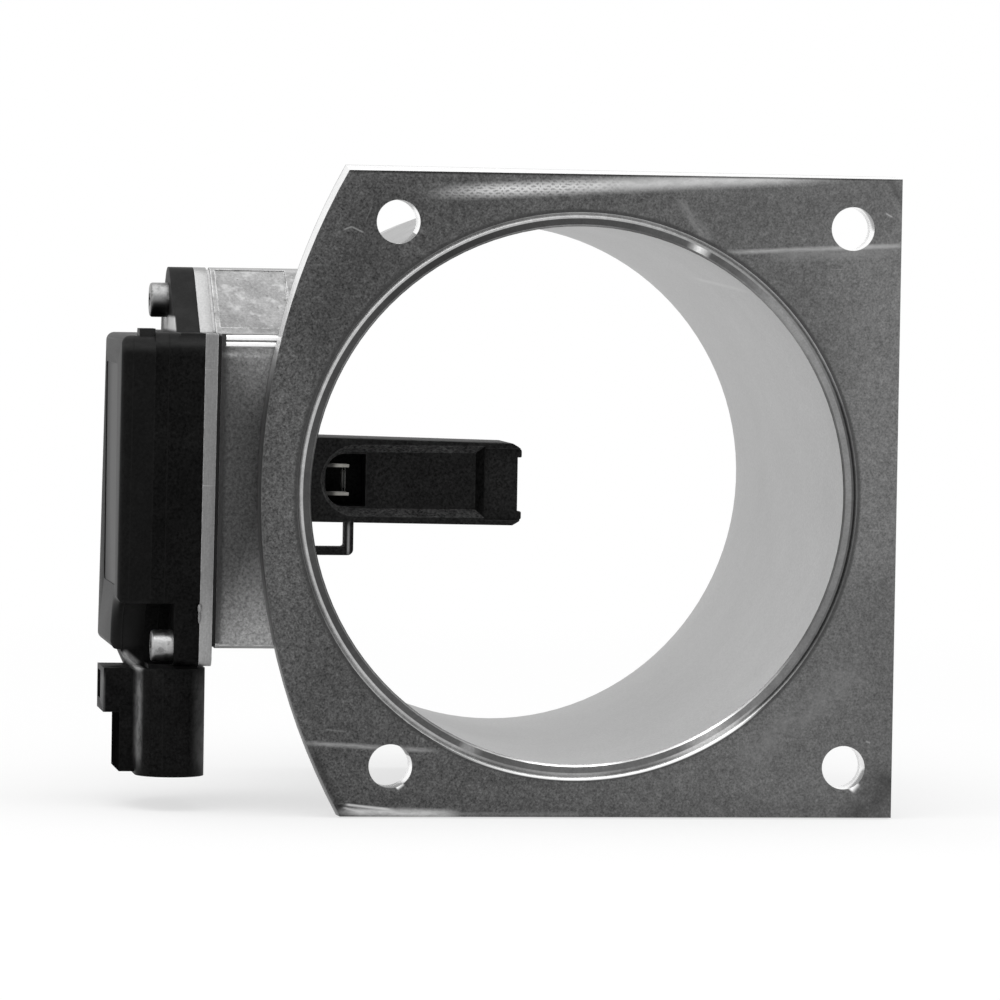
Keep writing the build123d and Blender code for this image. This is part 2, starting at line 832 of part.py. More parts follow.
def make_probe_lid():
    """Flat lid over the bypass, with the window where the air leaves."""
    gap = lid_clearance
    low = inlet_centre_z - inlet_half_height - lid_border + gap
    high = inlet_centre_z + inlet_half_height + lid_border - gap
    lid = block(-inlet_left_x - lid_border + gap, -passage_end_x + lid_border - gap,
                probe_rear_y - lid_thickness, probe_rear_y, low, high)
    window_right = -passage_end_x - outlet_margin
    return lid - block(window_right - outlet_width, window_right,
                       probe_rear_y - lid_thickness - overlap, probe_rear_y + overlap,
                       inlet_centre_z - inlet_half_height + outlet_margin,
                       inlet_centre_z + inlet_half_height - outlet_margin)


def make_seal():
    """Square-section sealing ring in the plug's groove."""
    major = plug_r + plug_clearance - ring_r - ring_squeeze_gap
    section = Plane.XZ * Pos(major, 0) * Rectangle(2 * ring_r, 2 * ring_r)
    ring = revolve(section, Axis.Z)
    return Pos(-ring_x, probe_centre_y, plug_centre_z) * Rot(0, 90, 0) * ring


def make_post(y, z):
    """Square post from the board side, through the probe, to its bare end in the inlet."""
    return square_bar(post_width, case_x - neck_stand - post_head, -post_end_x, y, z)


def make_element(row, radius, bead_r_value, bead_length):
    """Fine wire between one pair of posts, with a bead at its middle where it has one."""
    y = post_front_y + row * post_pitch_y
    x = -post_end_x - wire_inset
    half = post_width / 2
    wire = rod_z(radius, post_lower_z + half, post_upper_z - half, x, y)
    if bead_length > 0:
        middle = (post_lower_z + post_upper_z) / 2
        wire += rod_z(bead_r_value, middle - bead_length / 2, middle + bead_length / 2, x, y)
    return wire


def make_thermistor():
    """Glass bead on two leads, behind the guard's leg."""
    top = probe_root_z - probe_root_height / 2 + lead_embedded
    bead = rod_z(thermistor_bead_r, thermistor_bead_z - thermistor_bead_length / 2,
                 thermistor_bead_z + thermistor_bead_length / 2, -thermistor_x, thermistor_y)
    bead = chamfer(bead.edges().filter_by(GeomType.CIRCLE), thermistor_bead_r / 2)
    for side in (-1, 1):
        y = thermistor_y + side * lead_spacing / 2
        bead += rod_z(lead_r, thermistor_bead_z, top, -thermistor_x, y)
    return bead


# Screws
def make_screw(length, head_r, head_height, seat_x, y, z):
    """Screw along X, with its head on a seat, a six-sided recess and a short tapered tip."""
    edge = screw_head_edge
    tip = screw_tip_chamfer
    profile = [
        (0, seat_x - head_height), (head_r - edge, seat_x - head_height),
        (head_r, seat_x - head_height + edge), (head_r, seat_x),
        (screw_shank_r, seat_x), (screw_shank_r, seat_x + length - tip),
        (screw_shank_r - tip, seat_x + length), (0, seat_x + length),
    ]
    turned = revolve(Plane.XY * make_face(Polyline(*[(x, r) for r, x in profile], close=True)), Axis.X)
    recess = slab(RegularPolygon(drive_r, 6), seat_x - head_height - overlap,
                  seat_x - head_height + min(drive_depth, head_height / 2))
    return Pos(0, y, z) * (turned - recess)


def make_plate_screws():
    """Screws inside the case that hold the plate to the pad."""
    return [make_screw(plate_screw_length, plate_screw_head_r, plate_screw_head_height, case_x, y, z)
            for y, z in plate_screw_places]


def write(name, shape):
    """One STEP file for one node."""
    shape.label = name
    export_step(shape, "parts/" + name + ".step")


def main():
    write("housing", make_housing())
    write("base_plate", make_base_plate())
    write("plate_gasket", make_gasket())
    write("module_case", make_case())
    write("module_cover", make_cover())
    write("circuit_board", make_board())
    write("control_chip", make_chip(chip_side, chip_side, chip_height, chip_y, chip_z))
    write("power_transistor", make_chip(transistor_length, transistor_width, transistor_height,
                                        transistor_y, transistor_z))
    for number in range(capacitor_count):
        y = capacitor_y + number * capacitor_pitch
        write("chip_capacitor_%d" % (number + 1), make_chip(
            capacitor_length, capacitor_width, capacitor_height, y, capacitor_z))
    for number in range(pin_count):
        write("connector_pin_%d" % (number + 1), make_connector_pin(number))
    write("probe_body", make_probe_body())
    write("probe_lid", make_probe_lid())
    write("probe_seal", make_seal())
    for number, (y, z) in enumerate(post_places()):
        write("sensor_post_%d" % (number + 1), make_post(y, z))
    write("hot_wire", make_element(0, wire_r, 0, 0))
    write("compensation_element", make_element(1, wire_r, element_r, element_length))
    write("thermistor", make_thermistor())
    write("upper_screw", make_screw(upper_screw_length, upper_head_r, upper_head_height,
                                    ear_x, upper_screw_y, upper_screw_z))
    write("lower_screw", make_screw(ear_thickness + plate_thickness, lower_head_r, lower_head_height,
                                    ear_x, lower_screw_y, lower_screw_z))
    write("plate_screws", Compound(children=make_plate_screws()))


main()
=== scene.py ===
"""Mass airflow sensor: the finished look of a cast duct with a hot-wire module on its side.

Laid out as an add-on. Every piece is built in metres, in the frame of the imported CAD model:
+X to the right as seen from the intake, +Y along the air, +Z up.
"""
from math import atan2, cos, hypot, pi, radians, sin

import bpy
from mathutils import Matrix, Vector


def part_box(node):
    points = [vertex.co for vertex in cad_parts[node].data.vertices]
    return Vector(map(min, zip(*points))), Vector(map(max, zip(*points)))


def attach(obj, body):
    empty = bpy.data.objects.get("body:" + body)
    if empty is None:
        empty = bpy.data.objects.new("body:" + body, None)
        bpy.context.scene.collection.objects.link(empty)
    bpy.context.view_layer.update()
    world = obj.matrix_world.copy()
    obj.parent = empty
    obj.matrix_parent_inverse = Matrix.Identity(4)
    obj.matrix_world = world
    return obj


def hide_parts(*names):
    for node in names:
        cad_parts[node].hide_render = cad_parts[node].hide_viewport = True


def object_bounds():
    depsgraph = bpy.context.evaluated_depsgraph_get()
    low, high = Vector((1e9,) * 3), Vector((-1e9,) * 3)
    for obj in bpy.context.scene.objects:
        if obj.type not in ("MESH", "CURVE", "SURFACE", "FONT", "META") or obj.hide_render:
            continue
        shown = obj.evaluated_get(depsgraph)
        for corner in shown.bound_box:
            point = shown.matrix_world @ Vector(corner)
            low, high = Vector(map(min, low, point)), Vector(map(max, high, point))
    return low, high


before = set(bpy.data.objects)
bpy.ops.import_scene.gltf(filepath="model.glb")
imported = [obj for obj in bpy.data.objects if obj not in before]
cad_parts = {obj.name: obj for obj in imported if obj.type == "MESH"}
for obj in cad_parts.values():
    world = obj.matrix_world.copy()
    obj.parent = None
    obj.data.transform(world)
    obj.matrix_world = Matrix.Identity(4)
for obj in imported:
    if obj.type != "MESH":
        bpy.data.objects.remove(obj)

bl_info = {
    "name": "Mass Airflow Sensor",
    "version": (1, 0, 0),
    "blender": (4, 5, 0),
    "location": "3D View > Sidebar > Airflow Sensor",
    "description": "Builds the finished look of a mass airflow sensor around its CAD frame",
    "category": "Object",
}

MM = 0.001
CAD_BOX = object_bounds()


# Sizes and colours that a user may change
def size(label, text, default):
    """A length in metres."""
    return bpy.props.FloatProperty(name=label, description=text, default=default,
                                   unit="LENGTH", precision=5, min=0.0)


def level(label, text, default):
    """A grey tone as it appears on screen, from 0 for black to 255 for white."""
    return bpy.props.FloatProperty(name=label, description=text, default=default,
                                   min=0.0, max=255.0)


def power(label, text, default):
    """The power of a lamp in watts."""
    return bpy.props.FloatProperty(name=label, description=text, default=default, unit="POWER")


class SensorSizes(bpy.types.PropertyGroup):
    casting_edge: size("Casting edge", "Rounding on the edges of the duct casting", 0.12 * MM)
    plastic_edge: size("Plastic edge", "Rounding on the edges of the moulded parts", 0.18 * MM)
    plate_edge: size("Plate edge", "Rolled edge of the stamped plate", 0.12 * MM)
    thread_pitch: size("Thread pitch", "Rise of the screw thread per turn", 0.5 * MM)
    thread_depth: size("Thread depth", "Height of the thread above its core", 0.2 * MM)
    drive_radius: size("Drive radius", "Mean radius of the six-lobed recess", 1.05 * MM)
    drive_lobe: size("Drive lobe", "How far the lobes of the recess stand out", 0.17 * MM)
    drive_depth: size("Drive depth", "Depth of the recess in a screw head", 1.1 * MM)
    wire_thickness: size("Wire thickness", "Thickness of the sensing wire", 0.035 * MM)
    lead_thickness: size("Lead thickness", "Thickness of the chip's leads", 0.15 * MM)


class SensorTones(bpy.types.PropertyGroup):
    # The milled face runs from the left tone to the right tone: painted shade at the left, painted light at
    # the right.
    face_left_in_painted_shade: level("Milled face, left", "Tone of the flange face at its left side", 80)
    face_right_in_painted_light: level("Milled face, right", "Tone of the flange face at its right side", 102)
    bore: level("Bored wall", "Tone of the machined bore", 210)
    skin: level("Cast skin", "Tone of the casting where it isn't machined", 158)
    plate: level("Plate", "Tone of the stamped plate's edge", 124)
    moulded: level("Moulded black", "Tone of the case and its cover", 8)
    probe: level("Probe black", "Tone of the probe", 22)
    screw: level("Screw", "Tone of the plated screws", 140)


class StageSettings(bpy.types.PropertyGroup):
    ambient: bpy.props.FloatProperty(
        name="Ambient", description="Strength of the surroundings on matt surfaces", default=0.6)
    top: power("Top light", "Power of the soft light overhead", 8.5)
    left: power("Left light", "Power of the fill from the left", 0.7)
    right: power("Right light", "Power of the fill from the right", 1.0)
    floor: level("Floor", "Tone of the floor", 242)


def sizes():
    return bpy.context.scene.sensor_sizes


def tones():
    return bpy.context.scene.sensor_tones


def grey(tone):
    """Linear colour of a grey screen tone. A colour that is given comes back as it is."""
    if isinstance(tone, tuple):
        return tone
    share = max(tone, 0.0) / 255
    linear = share / 12.92 if share <= 0.04045 else ((share + 0.055) / 1.055) ** 2.4
    return linear, linear, linear, 1.0


# Node helpers
class Number:
    """A number or vector that a shader works out. Sums on numbers read like ordinary sums."""

    def __init__(self, tree, socket):
        self.tree = tree
        self.socket = socket

    def calc(self, operation, *others, clamp=False):
        """One sum that starts from this number."""
        return calc(self.tree, operation, self, *others, clamp=clamp)

    def __add__(self, other):
        return self.calc("ADD", other)

    def __sub__(self, other):
        return self.calc("SUBTRACT", other)

    def __rsub__(self, other):
        return calc(self.tree, "SUBTRACT", other, self)

    def __mul__(self, other):
        return self.calc("MULTIPLY", other)

    def __truediv__(self, other):
        return self.calc("DIVIDE", other)

    def __rtruediv__(self, other):
        return calc(self.tree, "DIVIDE", other, self)

    def __abs__(self):
        return self.calc("ABSOLUTE")

    def ease(self, low, high, to_low=0.0, to_high=1.0):
        """This number between two limits, eased to another pair of limits."""
        feeds = {"Value": self, "From Min": low, "From Max": high,
                 "To Min": to_low, "To Max": to_high}
        made = place(self.tree, "MapRange", feeds, interpolation_type="SMOOTHSTEP")
        return Number(self.tree, made.outputs["Result"])


def feed(tree, socket, value):
    """Gives a socket a link or a plain value."""
    value = getattr(value, "socket", value)
    if isinstance(value, bpy.types.NodeSocket):
        tree.links.new(value, socket)
    else:
        socket.default_value = value


def place(tree, kind, feeds=None, **settings):
    """Adds a shader node, sets its options and feeds its sockets."""
    made = tree.nodes.new("ShaderNode" + kind)
    for key, value in settings.items():
        setattr(made, key, value)
    for key, value in (feeds or {}).items():
        feed(tree, made.inputs[key], value)
    return made


def calc(tree, operation, *values, clamp=False):
    """One sum on numbers."""
    made = place(tree, "Math", dict(enumerate(values)), operation=operation, use_clamp=clamp)
    return Number(tree, made.outputs[0])


def scaled(tree, vector, factor):
    """A vector or colour times a factor."""
    return place(tree, "VectorMath", {0: vector, "Scale": factor}, operation="SCALE").outputs[0]


def dot(tree, first, second):
    """The dot product of two vectors."""
    made = place(tree, "VectorMath", {0: first, 1: second}, operation="DOT_PRODUCT")
    return Number(tree, made.outputs["Value"])


def split(tree, vector):
    """The three numbers of a vector."""
    return [Number(tree, socket) for socket in place(tree, "SeparateXYZ", {0: vector}).outputs]


def blend_colours(tree, mask, first, second):
    """The first colour where the mask is 0, the second where it is 1."""
    return place(tree, "Mix", {0: mask, 6: first, 7: second}, data_type="RGBA").outputs[2]


def millimetres(tree):
    """Object coordinates in millimetres."""
    return scaled(tree, place(tree, "TexCoord").outputs["Object"], 1 / MM)


def facing_up(tree):
    """How far the surface faces up, from -1 to 1."""
    return split(tree, place(tree, "NewGeometry").outputs["Normal"])[2]


def noise(tree, vector, width, detail=2.0, roughness=0.55):
    """Soft noise whose lumps are about as wide as the given width in millimetres."""
    feeds = {"Vector": vector, "Scale": 1.0 / width, "Detail": detail, "Roughness": roughness}
    return Number(tree, place(tree, "TexNoise", feeds).outputs[0])


def around_one(value, contrast):
    """Noise turned into a shade that swings about 1."""
    return (value - 0.5) * contrast * 4.0 + 1.0


def turn_axes(x, z, angle):
    """Distances along a direction that is turned from X towards Z, and across it."""
    c, s = angle.calc("COSINE"), angle.calc("SINE")
    return x * c + z * s, z * c - x * s


def tone_by_angle(tree, turn, stops):
    """A grey tone that changes with the angle in degrees, from -180 to 180, about the bore."""
    made = place(tree, "ValToRGB", {"Fac": turn / (2 * pi) + 0.5})
    ramp = made.color_ramp
    ramp.interpolation = "EASE"
    for number, (degrees, tone) in enumerate(stops):
        spot = degrees / 360 + 0.5
        stop = ramp.elements[number] if number < 2 else ramp.elements.new(spot)
        stop.position = spot
        stop.color = grey(tone)
    return made.outputs["Color"]


# Shared effects
EFFECTS = {}


def shared_effect(name, **inputs):
    """Notes how a shared effect is built, and its inputs with their usual values."""
    def note(build):
        EFFECTS[name] = inputs, build
        return build
    return note


def group_of(name):
    """The node group of a shared effect, built when the first material asks for it."""
    if name in bpy.data.node_groups:
        return bpy.data.node_groups[name]
    inputs, build = EFFECTS[name]
    tree = bpy.data.node_groups.new(name, "ShaderNodeTree")
    for label, value in inputs.items():
        kind = "NodeSocketVector" if isinstance(value, tuple) else "NodeSocketFloat"
        socket = tree.interface.new_socket(name=label.capitalize(), in_out="INPUT", socket_type=kind)
        socket.default_value = value
    start = tree.nodes.new("NodeGroupInput").outputs
    results = build(tree, **{label: Number(tree, start[label.capitalize()]) for label in inputs})
    for label in results:
        tree.interface.new_socket(name=label, in_out="OUTPUT", socket_type="NodeSocketFloat")
    end = tree.nodes.new("NodeGroupOutput").inputs
    for label, value in results.items():
        feed(tree, end[label], value)
    return tree


@shared_effect("grain", width=0.2, contrast=0.2)
def make_grain(tree, width, contrast):
    """Fine grain of a surface: a shade around 1, and a height."""
    turned = place(tree, "Mapping", {"Vector": millimetres(tree), "Location": (13.7, 5.3, 9.1),
                                     "Rotation": (0.6, 0.4, 0.9)}).outputs[0]
    fine = noise(tree, turned, width, roughness=0.7)
    return {"Shade": around_one(fine, contrast), "Height": fine}


@shared_effect("brushing", angle=0.0, length=6.0, width=0.1, contrast=0.2)
def make_brushing(tree, angle, length, width, contrast):
    """Fine lines left by a cutter or a brush, along X turned by an angle about Y."""
    x, y, z = split(tree, millimetres(tree))
    along, across = turn_axes(x, z, angle)
    joined = place(tree, "CombineXYZ", {0: along / length, 1: across / width, 2: y / width})
    lines = noise(tree, joined.outputs[0], 1.0, detail=3.0, roughness=0.6)
    return {"Shade": around_one(lines, contrast), "Height": lines}


@shared_effect("edge wear", reach=0.25, breakup=0.8)
def make_edge_wear_and_highlight(tree, reach, breakup):
    """Edges made bright, broken up by noise: partly worn by handling, partly a painted edge highlight."""
    rounded = place(tree, "Bevel", {"Radius": reach * MM}, samples=6).outputs[0]
    bend = 1.0 - dot(tree, rounded, place(tree, "NewGeometry").outputs["Normal"])
    patchy = noise(tree, millimetres(tree), breakup, detail=4.0, roughness=0.65)
    return {"Mask": bend.ease(0.015, 0.12) * patchy.ease(0.36, 0.56)}


@shared_effect("cast skin", contrast=0.12)
def make_cast_skin(tree, contrast):
    """Die-cast skin: a mottled tone, slight orange peel and small pits."""
    spot = millimetres(tree)
    mottle = noise(tree, spot, 4.5, detail=5.0, roughness=0.65)
    peel = noise(tree, spot, 0.55, detail=3.0, roughness=0.6)
    cells = place(tree, "TexVoronoi", {"Vector": spot, "Scale": 0.42, "Randomness": 1.0})
    pits = Number(tree, cells.outputs["Distance"]).ease(0.1, 0.06)
    return {"Shade": around_one(mottle * 0.65 + peel * 0.35, contrast),
            "Height": peel - pits * 1.5, "Pits": pits}


@shared_effect("scratches", amount=0.5)
def make_scratches(tree, amount):
    """Thin random scratches in two directions, few and uneven."""
    spot = millimetres(tree)
    masks = []
    for turn, seed in ((0.5, 3.0), (-0.9, 11.0)):
        turned = place(tree, "Mapping", {
            "Vector": spot, "Location": (seed, seed, seed),
            "Rotation": (0.0, turn, turn / 2), "Scale": (0.11, 3.2, 9.0)}).outputs[0]
        masks.append(noise(tree, turned, 1.0, detail=1.0, roughness=0.4).ease(0.76, 0.8))
    gate = noise(tree, spot, 9.0, detail=1.0).ease(0.5, 0.62)
    return {"Mask": masks[0].calc("MAXIMUM", masks[1]) * gate * amount}


@shared_effect("dust", amount=0.3)
def make_dust(tree, amount):
    """Fine dust that settles on what faces up, in soft patches and specks."""
    spot = millimetres(tree)
    up = facing_up(tree).ease(-0.3, 0.9)
    patches = noise(tree, spot, 3.0, detail=4.0).ease(0.42, 0.7)
    specks = noise(tree, spot, 0.16, detail=1.0).ease(0.66, 0.74)
    mixed = (patches * 0.5 + specks) * (up + 0.12)
    return {"Mask": mixed.calc("MULTIPLY", amount, clamp=True)}


@shared_effect("streak mark", centre=(0.0, 0.0, 0.0), angle=0.0, length=10.0, width=1.0,
               streakiness=0.5)
def make_streak_mark(tree, centre, angle, length, width, streakiness):
    """One streak on a face seen along Y: centre, angle, length and width. It serves for rubbed marks,
    painted sheen, painted highlights and painted shadows.
    """
    offset = place(tree, "VectorMath", {0: millimetres(tree), 1: centre}, operation="SUBTRACT")
    axes = split(tree, offset.outputs[0])
    along, across = turn_axes(axes[0], axes[2], angle)
    lengthwise = (abs(along) / (length * 0.5)).ease(1.0, 0.55)
    crosswise = (abs(across) / (width * 0.5)).ease(1.0, 0.0)
    stretched = place(tree, "CombineXYZ", {0: along * 0.4, 1: across * 3.0 / width}).outputs[0]
    broken = noise(tree, stretched, 1.0, detail=5.0, roughness=0.7).ease(0.36, 0.6)
    return {"Mask": lengthwise * crosswise * (broken * streakiness + (1.0 - streakiness))}


@shared_effect("crosshatch", angle=0.7, pitch=1.0)
def make_crosshatch(tree, angle, pitch):
    """Two crossing sets of fine ridges, as a file or a cutter leaves them."""
    spot = millimetres(tree)
    axes = split(tree, spot)
    bent = noise(tree, spot, 2.2, detail=3.0, roughness=0.7) * 3.0 * pitch
    along = axes[0] * angle.calc("COSINE") + bent
    up = axes[2] * angle.calc("SINE")
    first, second = [abs((phase / pitch * pi).calc("SINE")).ease(0.4, 1.0)
                     for phase in (along + up, along - up)]
    return {"Mask": first.calc("MAXIMUM", second)}


@shared_effect("seam line", axis=(1.0, 0.0, 0.0), at=0.0, width=0.12)
def make_seam_line(tree, axis, at, width):
    """Witness line that a mould leaves, across an axis at one place on it."""
    gap = abs(dot(tree, millimetres(tree), axis) - at)
    return {"Mask": calc(tree, "SUBTRACT", 1.0, gap / width, clamp=True)}


class Finish:
    """A material while it is built: its tree, its shader, its colour and its surface height."""

    def __init__(self, name, tone, metallic, roughness, specular=0.5):
        self.material = bpy.data.materials.new(name)
        self.material.use_nodes = True
        self.tree = self.material.node_tree
        self.shader = self.tree.nodes["Principled BSDF"]
        self.shader.inputs["Metallic"].default_value = metallic
        self.shader.inputs["Specular IOR Level"].default_value = specular
        self.colour = grey(tone)
        self.rough = roughness
        self.normal = None
        self.distances = {}

    def along(self, axis):
        """Distance along an axis of the part, in millimetres."""
        if not self.distances:
            self.distances.update(zip("XYZ", split(self.tree, millimetres(self.tree))))
        return self.distances[axis]

    def around_bore(self):
        """Angle about the bore's axis, and the distance from it in millimetres."""
        x, z = self.along("X"), self.along("Z")
        return z.calc("ARCTAN2", x), (x.calc("POWER", 2.0) + z.calc("POWER", 2.0)).calc("SQRT")

    def effect(self, name, **values):
        """Places a shared effect and returns its outputs by name."""
        made = self.tree.nodes.new("ShaderNodeGroup")
        made.node_tree = group_of(name)
        for key, value in values.items():
            feed(self.tree, made.inputs[key.capitalize()], value)
        return {socket.name: Number(self.tree, socket) for socket in made.outputs}

    def shade(self, factor):
        """Makes the colour lighter or darker."""
        colour = self.colour[:3] if isinstance(self.colour, tuple) else self.colour
        self.colour = scaled(self.tree, colour, factor)

    def grain(self, width, contrast):
        """Shades the colour with grain, and returns the grain's height."""
        made = self.effect("grain", width=width, contrast=contrast)
        self.shade(made["Shade"])
        return made["Height"]

    def brush(self, angle, length, width, contrast):
        """Shades the colour with fine lines at an angle in degrees, and returns their height."""
        made = self.effect("brushing", angle=radians(angle), length=length, width=width,
                           contrast=contrast)
        self.shade(made["Shade"])
        return made["Height"]

    def cover(self, mask, tone, amount=1.0):
        """Lays another tone over the colour where the mask says."""
        if amount != 1.0:
            mask = mask * amount
        self.colour = blend_colours(self.tree, mask, self.colour, grey(tone))

    def scratch(self, amount, tone):
        self.cover(self.effect("scratches", amount=amount)["Mask"], tone)

    def dust(self, amount, tone):
        self.cover(self.effect("dust", amount=amount)["Mask"], tone)

    def wear_and_highlight(self, reach, breakup, tone, amount, within=None):
        """Lays a tone over the edges, if wanted only within another mask: worn edges and painted edge
        highlights.
        """
        mask = self.effect("edge wear", reach=reach, breakup=breakup)["Mask"]
        self.cover(mask if within is None else mask * within, tone, amount)

    def streak(self, centre, angle, length, width, streakiness):
        """The mask of one streak."""
        return self.effect("streak mark", centre=centre, angle=radians(angle), length=length,
                           width=width, streakiness=streakiness)["Mask"]

    def lay_streak(self, centre, angle, length, width, streakiness, tone, amount, within=None):
        """Lays a streak over the colour, if wanted only within another mask. Streaks serve as rubbed marks,
        painted sheen, painted highlights and painted shadows.
        """
        mark = self.streak(centre, angle, length, width, streakiness)
        self.cover(mark if within is None else mark * within, tone, amount)

    def roughen(self, mask, change):
        """Makes the surface duller or glossier where the mask says."""
        self.rough = calc(self.tree, "ADD", self.rough, mask * change, clamp=True)

    def uneven_gloss(self, width, change):
        """Roughens the surface with grain."""
        self.roughen(self.effect("grain", width=width)["Height"], change)

    def bump(self, height, distance):
        """Raises the surface by the height times the distance in millimetres."""
        feeds = {"Height": height, "Distance": distance * MM, "Strength": 1.0}
        if self.normal is not None:
            feeds["Normal"] = self.normal
        self.normal = place(self.tree, "Bump", feeds).outputs[0]

    def pebble(self, width, distance):
        """Raises the surface with grain."""
        self.bump(self.effect("grain", width=width)["Height"], distance)

    def done(self):
        for key, value in (("Base Color", self.colour), ("Roughness", self.rough),
                           ("Normal", self.normal)):
            if value is not None:
                feed(self.tree, self.shader.inputs[key], value)
        return self.material


# Materials
# Broad painted sheen and painted shade, and then marks, on the flange face: rubbed streaks,
# painted highlights, and painted shadows in the corners and along the edges. A row gives the
# centre's X and Z in mm, the angle in degrees, the length, the width, how broken up the mark is,
# its tone, and how much of it shows. The renderer draws the face black when it has some ten marks
# more than these.
FLANGE_SHEEN = (
    (45, 14, 90, 66, 20, 0.2, 128, 0.42),
    (-43.6, -3, 90, 70, 15, 0.2, 100, 0.4),
    (-34.5, 31, 62, 34, 15, 0.2, 58, 0.42),
)
FLANGE_RUBS_AND_PAINTED_LIGHT = (
    (-35.1, 39.2, 22, 1.5, 0.4, 0.1, 150, 0.7),
    (-33.7, 39, -25, 2.4, 0.4, 0.1, 150, 0.7),
    (-32, 41.5, 68, 3.2, 0.3, 0.4, 120, 0.5),
    (34.6, 37.15, 3.1, 31, 1.1, 0.35, 172, 0.75),
    (37.6, 36.6, 3.1, 22, 3, 0.5, 132, 0.6),
    (44.8, 37.7, 2.4, 8, 1, 0.3, 165, 0.7),
    (46.1, 42.4, -28, 1.4, 0.4, 0.1, 175, 0.7),
    (16.5, 41.2, -52, 9, 2.6, 0.8, 150, 0.4),
    (-31, -37.38, -3.2, 24, 1.15, 0.4, 160, 0.7),
    (-35.8, -35, -6, 3.8, 0.45, 0.3, 128, 0.5),
    (-31, -46.3, -6, 9, 0.6, 0.2, 215, 0.85),
    (-26, -47.15, -1, 20, 1.9, 0.3, 212, 0.85),
    (-10, -47.3, 0, 30, 1, 0.5, 140, 0.4),
    (34, -32.6, 40, 28, 7.5, 0.8, 126, 0.5),
    (44.4, -36.4, -20, 0.9, 0.5, 0, 160, 0.7),
    (42.3, -43, 50, 1.9, 1.9, 0, 255, 1.0),
    (-26.2, -43.1, 40, 1.5, 1.2, 0.1, 245, 1.0),
    (-33.2, -46.7, -12, 3.4, 0.6, 0.6, 200, 0.85),
    (-35.2, -46, 20, 3, 2.4, 0.7, 30, 0.8),
    (-21, -41.5, 42, 9, 0.35, 0.4, 60, 0.6),
    (45, -45.4, 52, 14, 9, 0.5, 54, 0.6),
    (-37.2, -42, -64, 12, 1.8, 0.5, 44, 0.6),
    (47.2, 45.9, -62, 7, 1.8, 0.5, 56, 0.5),
    (6, 47.66, 0.1, 110, 0.7, 0.1, 26, 0.85),
)
# Painted highlights on the case, the cover and the probe, laid as streaks: centre in mm, and then
# the same values. A mark reaches about as far back as its centre's Y.
CASE_HIGHLIGHTS = (
    ((-59, 21, 22), 0, 24, 2.2, 0.3, 66, 0.45),
    ((-68.95, 21, -31), 90, 7.4, 0.8, 0.3, 110, 0.5),
    ((-64.8, 21, -25.9), -40, 3.6, 2, 0.5, 205, 0.8),
    ((-64.03, 15, -34), 90, 17, 1.4, 0.6, 122, 0.8),
    ((-54.4, 15, -34.5), 90, 18, 4.6, 0.5, 92, 0.7),
    ((-67.2, 21, -38), 90, 9.5, 0.4, 0.3, 110, 0.7),
    ((-59.2, 31, 24.5), 90, 2.6, 0.9, 0.2, 232, 0.9),
)
COVER_HIGHLIGHTS = (
    ((-64.6, 21, -20.8), 90, 9.5, 9, 0.2, 38, 0.8),
    ((-64, 21, 21.4), 0, 14, 2.4, 0.3, 62, 0.45),
)
PROBE_HIGHLIGHTS = (((-32.5, 21, -7.4), 90, 5.8, 0.65, 0.1, 150, 0.9),)
# A light scuff on the bore's wall: angle in degrees, depth in mm, slope, and half its width in mm
SCUFF_TURN, SCUFF_DEPTH, SCUFF_SLOPE, SCUFF_WIDTH = 51.85, 20.9, 0.075, 0.9
# Tones round the bore, each with its angle in degrees. They are painted light and shade: bright arcs where
# a ring faces the lamps, dark arcs where it faces away.
GROOVE_HIGHLIGHT = ((-180, 0), (-122, 0), (-98, 255), (-56, 255), (-47, 0), (180, 0))
RIM_LIGHT_AND_SHADE = ((-180, 74), (-150, 70), (-125, 84), (-115, 88), (-113.5, 150), (-110, 88),
             (-90, 104), (-68, 102), (-61, 168), (-52, 118), (-30, 114), (0, 126), (42, 138),
             (57, 92), (62, 84), (64.5, 235), (67, 84), (90, 72), (120, 56), (150, 70), (180, 74))
GROOVE_INNER_LIGHT_AND_SHADE = ((-180, 172), (-150, 178), (-120, 165), (-105, 128), (-90, 158), (-76, 120),
                (-60, 208), (-45, 112), (-30, 98), (0, 84), (15, 82), (30, 118), (60, 145),
                (90, 180), (120, 176), (150, 184), (180, 172))
GROOVE_OUTER_LIGHT_AND_SHADE = ((-180, 96), (-160, 108), (-135, 180), (-105, 200), (-90, 238), (-75, 212),
                (-58, 254), (-45, 135), (-30, 96), (-15, 84), (0, 104), (15, 110), (30, 160),
                (60, 170), (90, 175), (110, 135), (140, 96), (180, 92))
MOUTH_LIGHT_AND_SHADE = ((-180, 92), (-150, 122), (-120, 142), (-105, 165), (-95, 248), (-86, 248),
               (-78, 160), (-70, 180), (-60, 244), (-50, 150), (-30, 94), (0, 86), (20, 104),
               (40, 140), (60, 118), (75, 96), (90, 142), (120, 112), (150, 138), (180, 92))


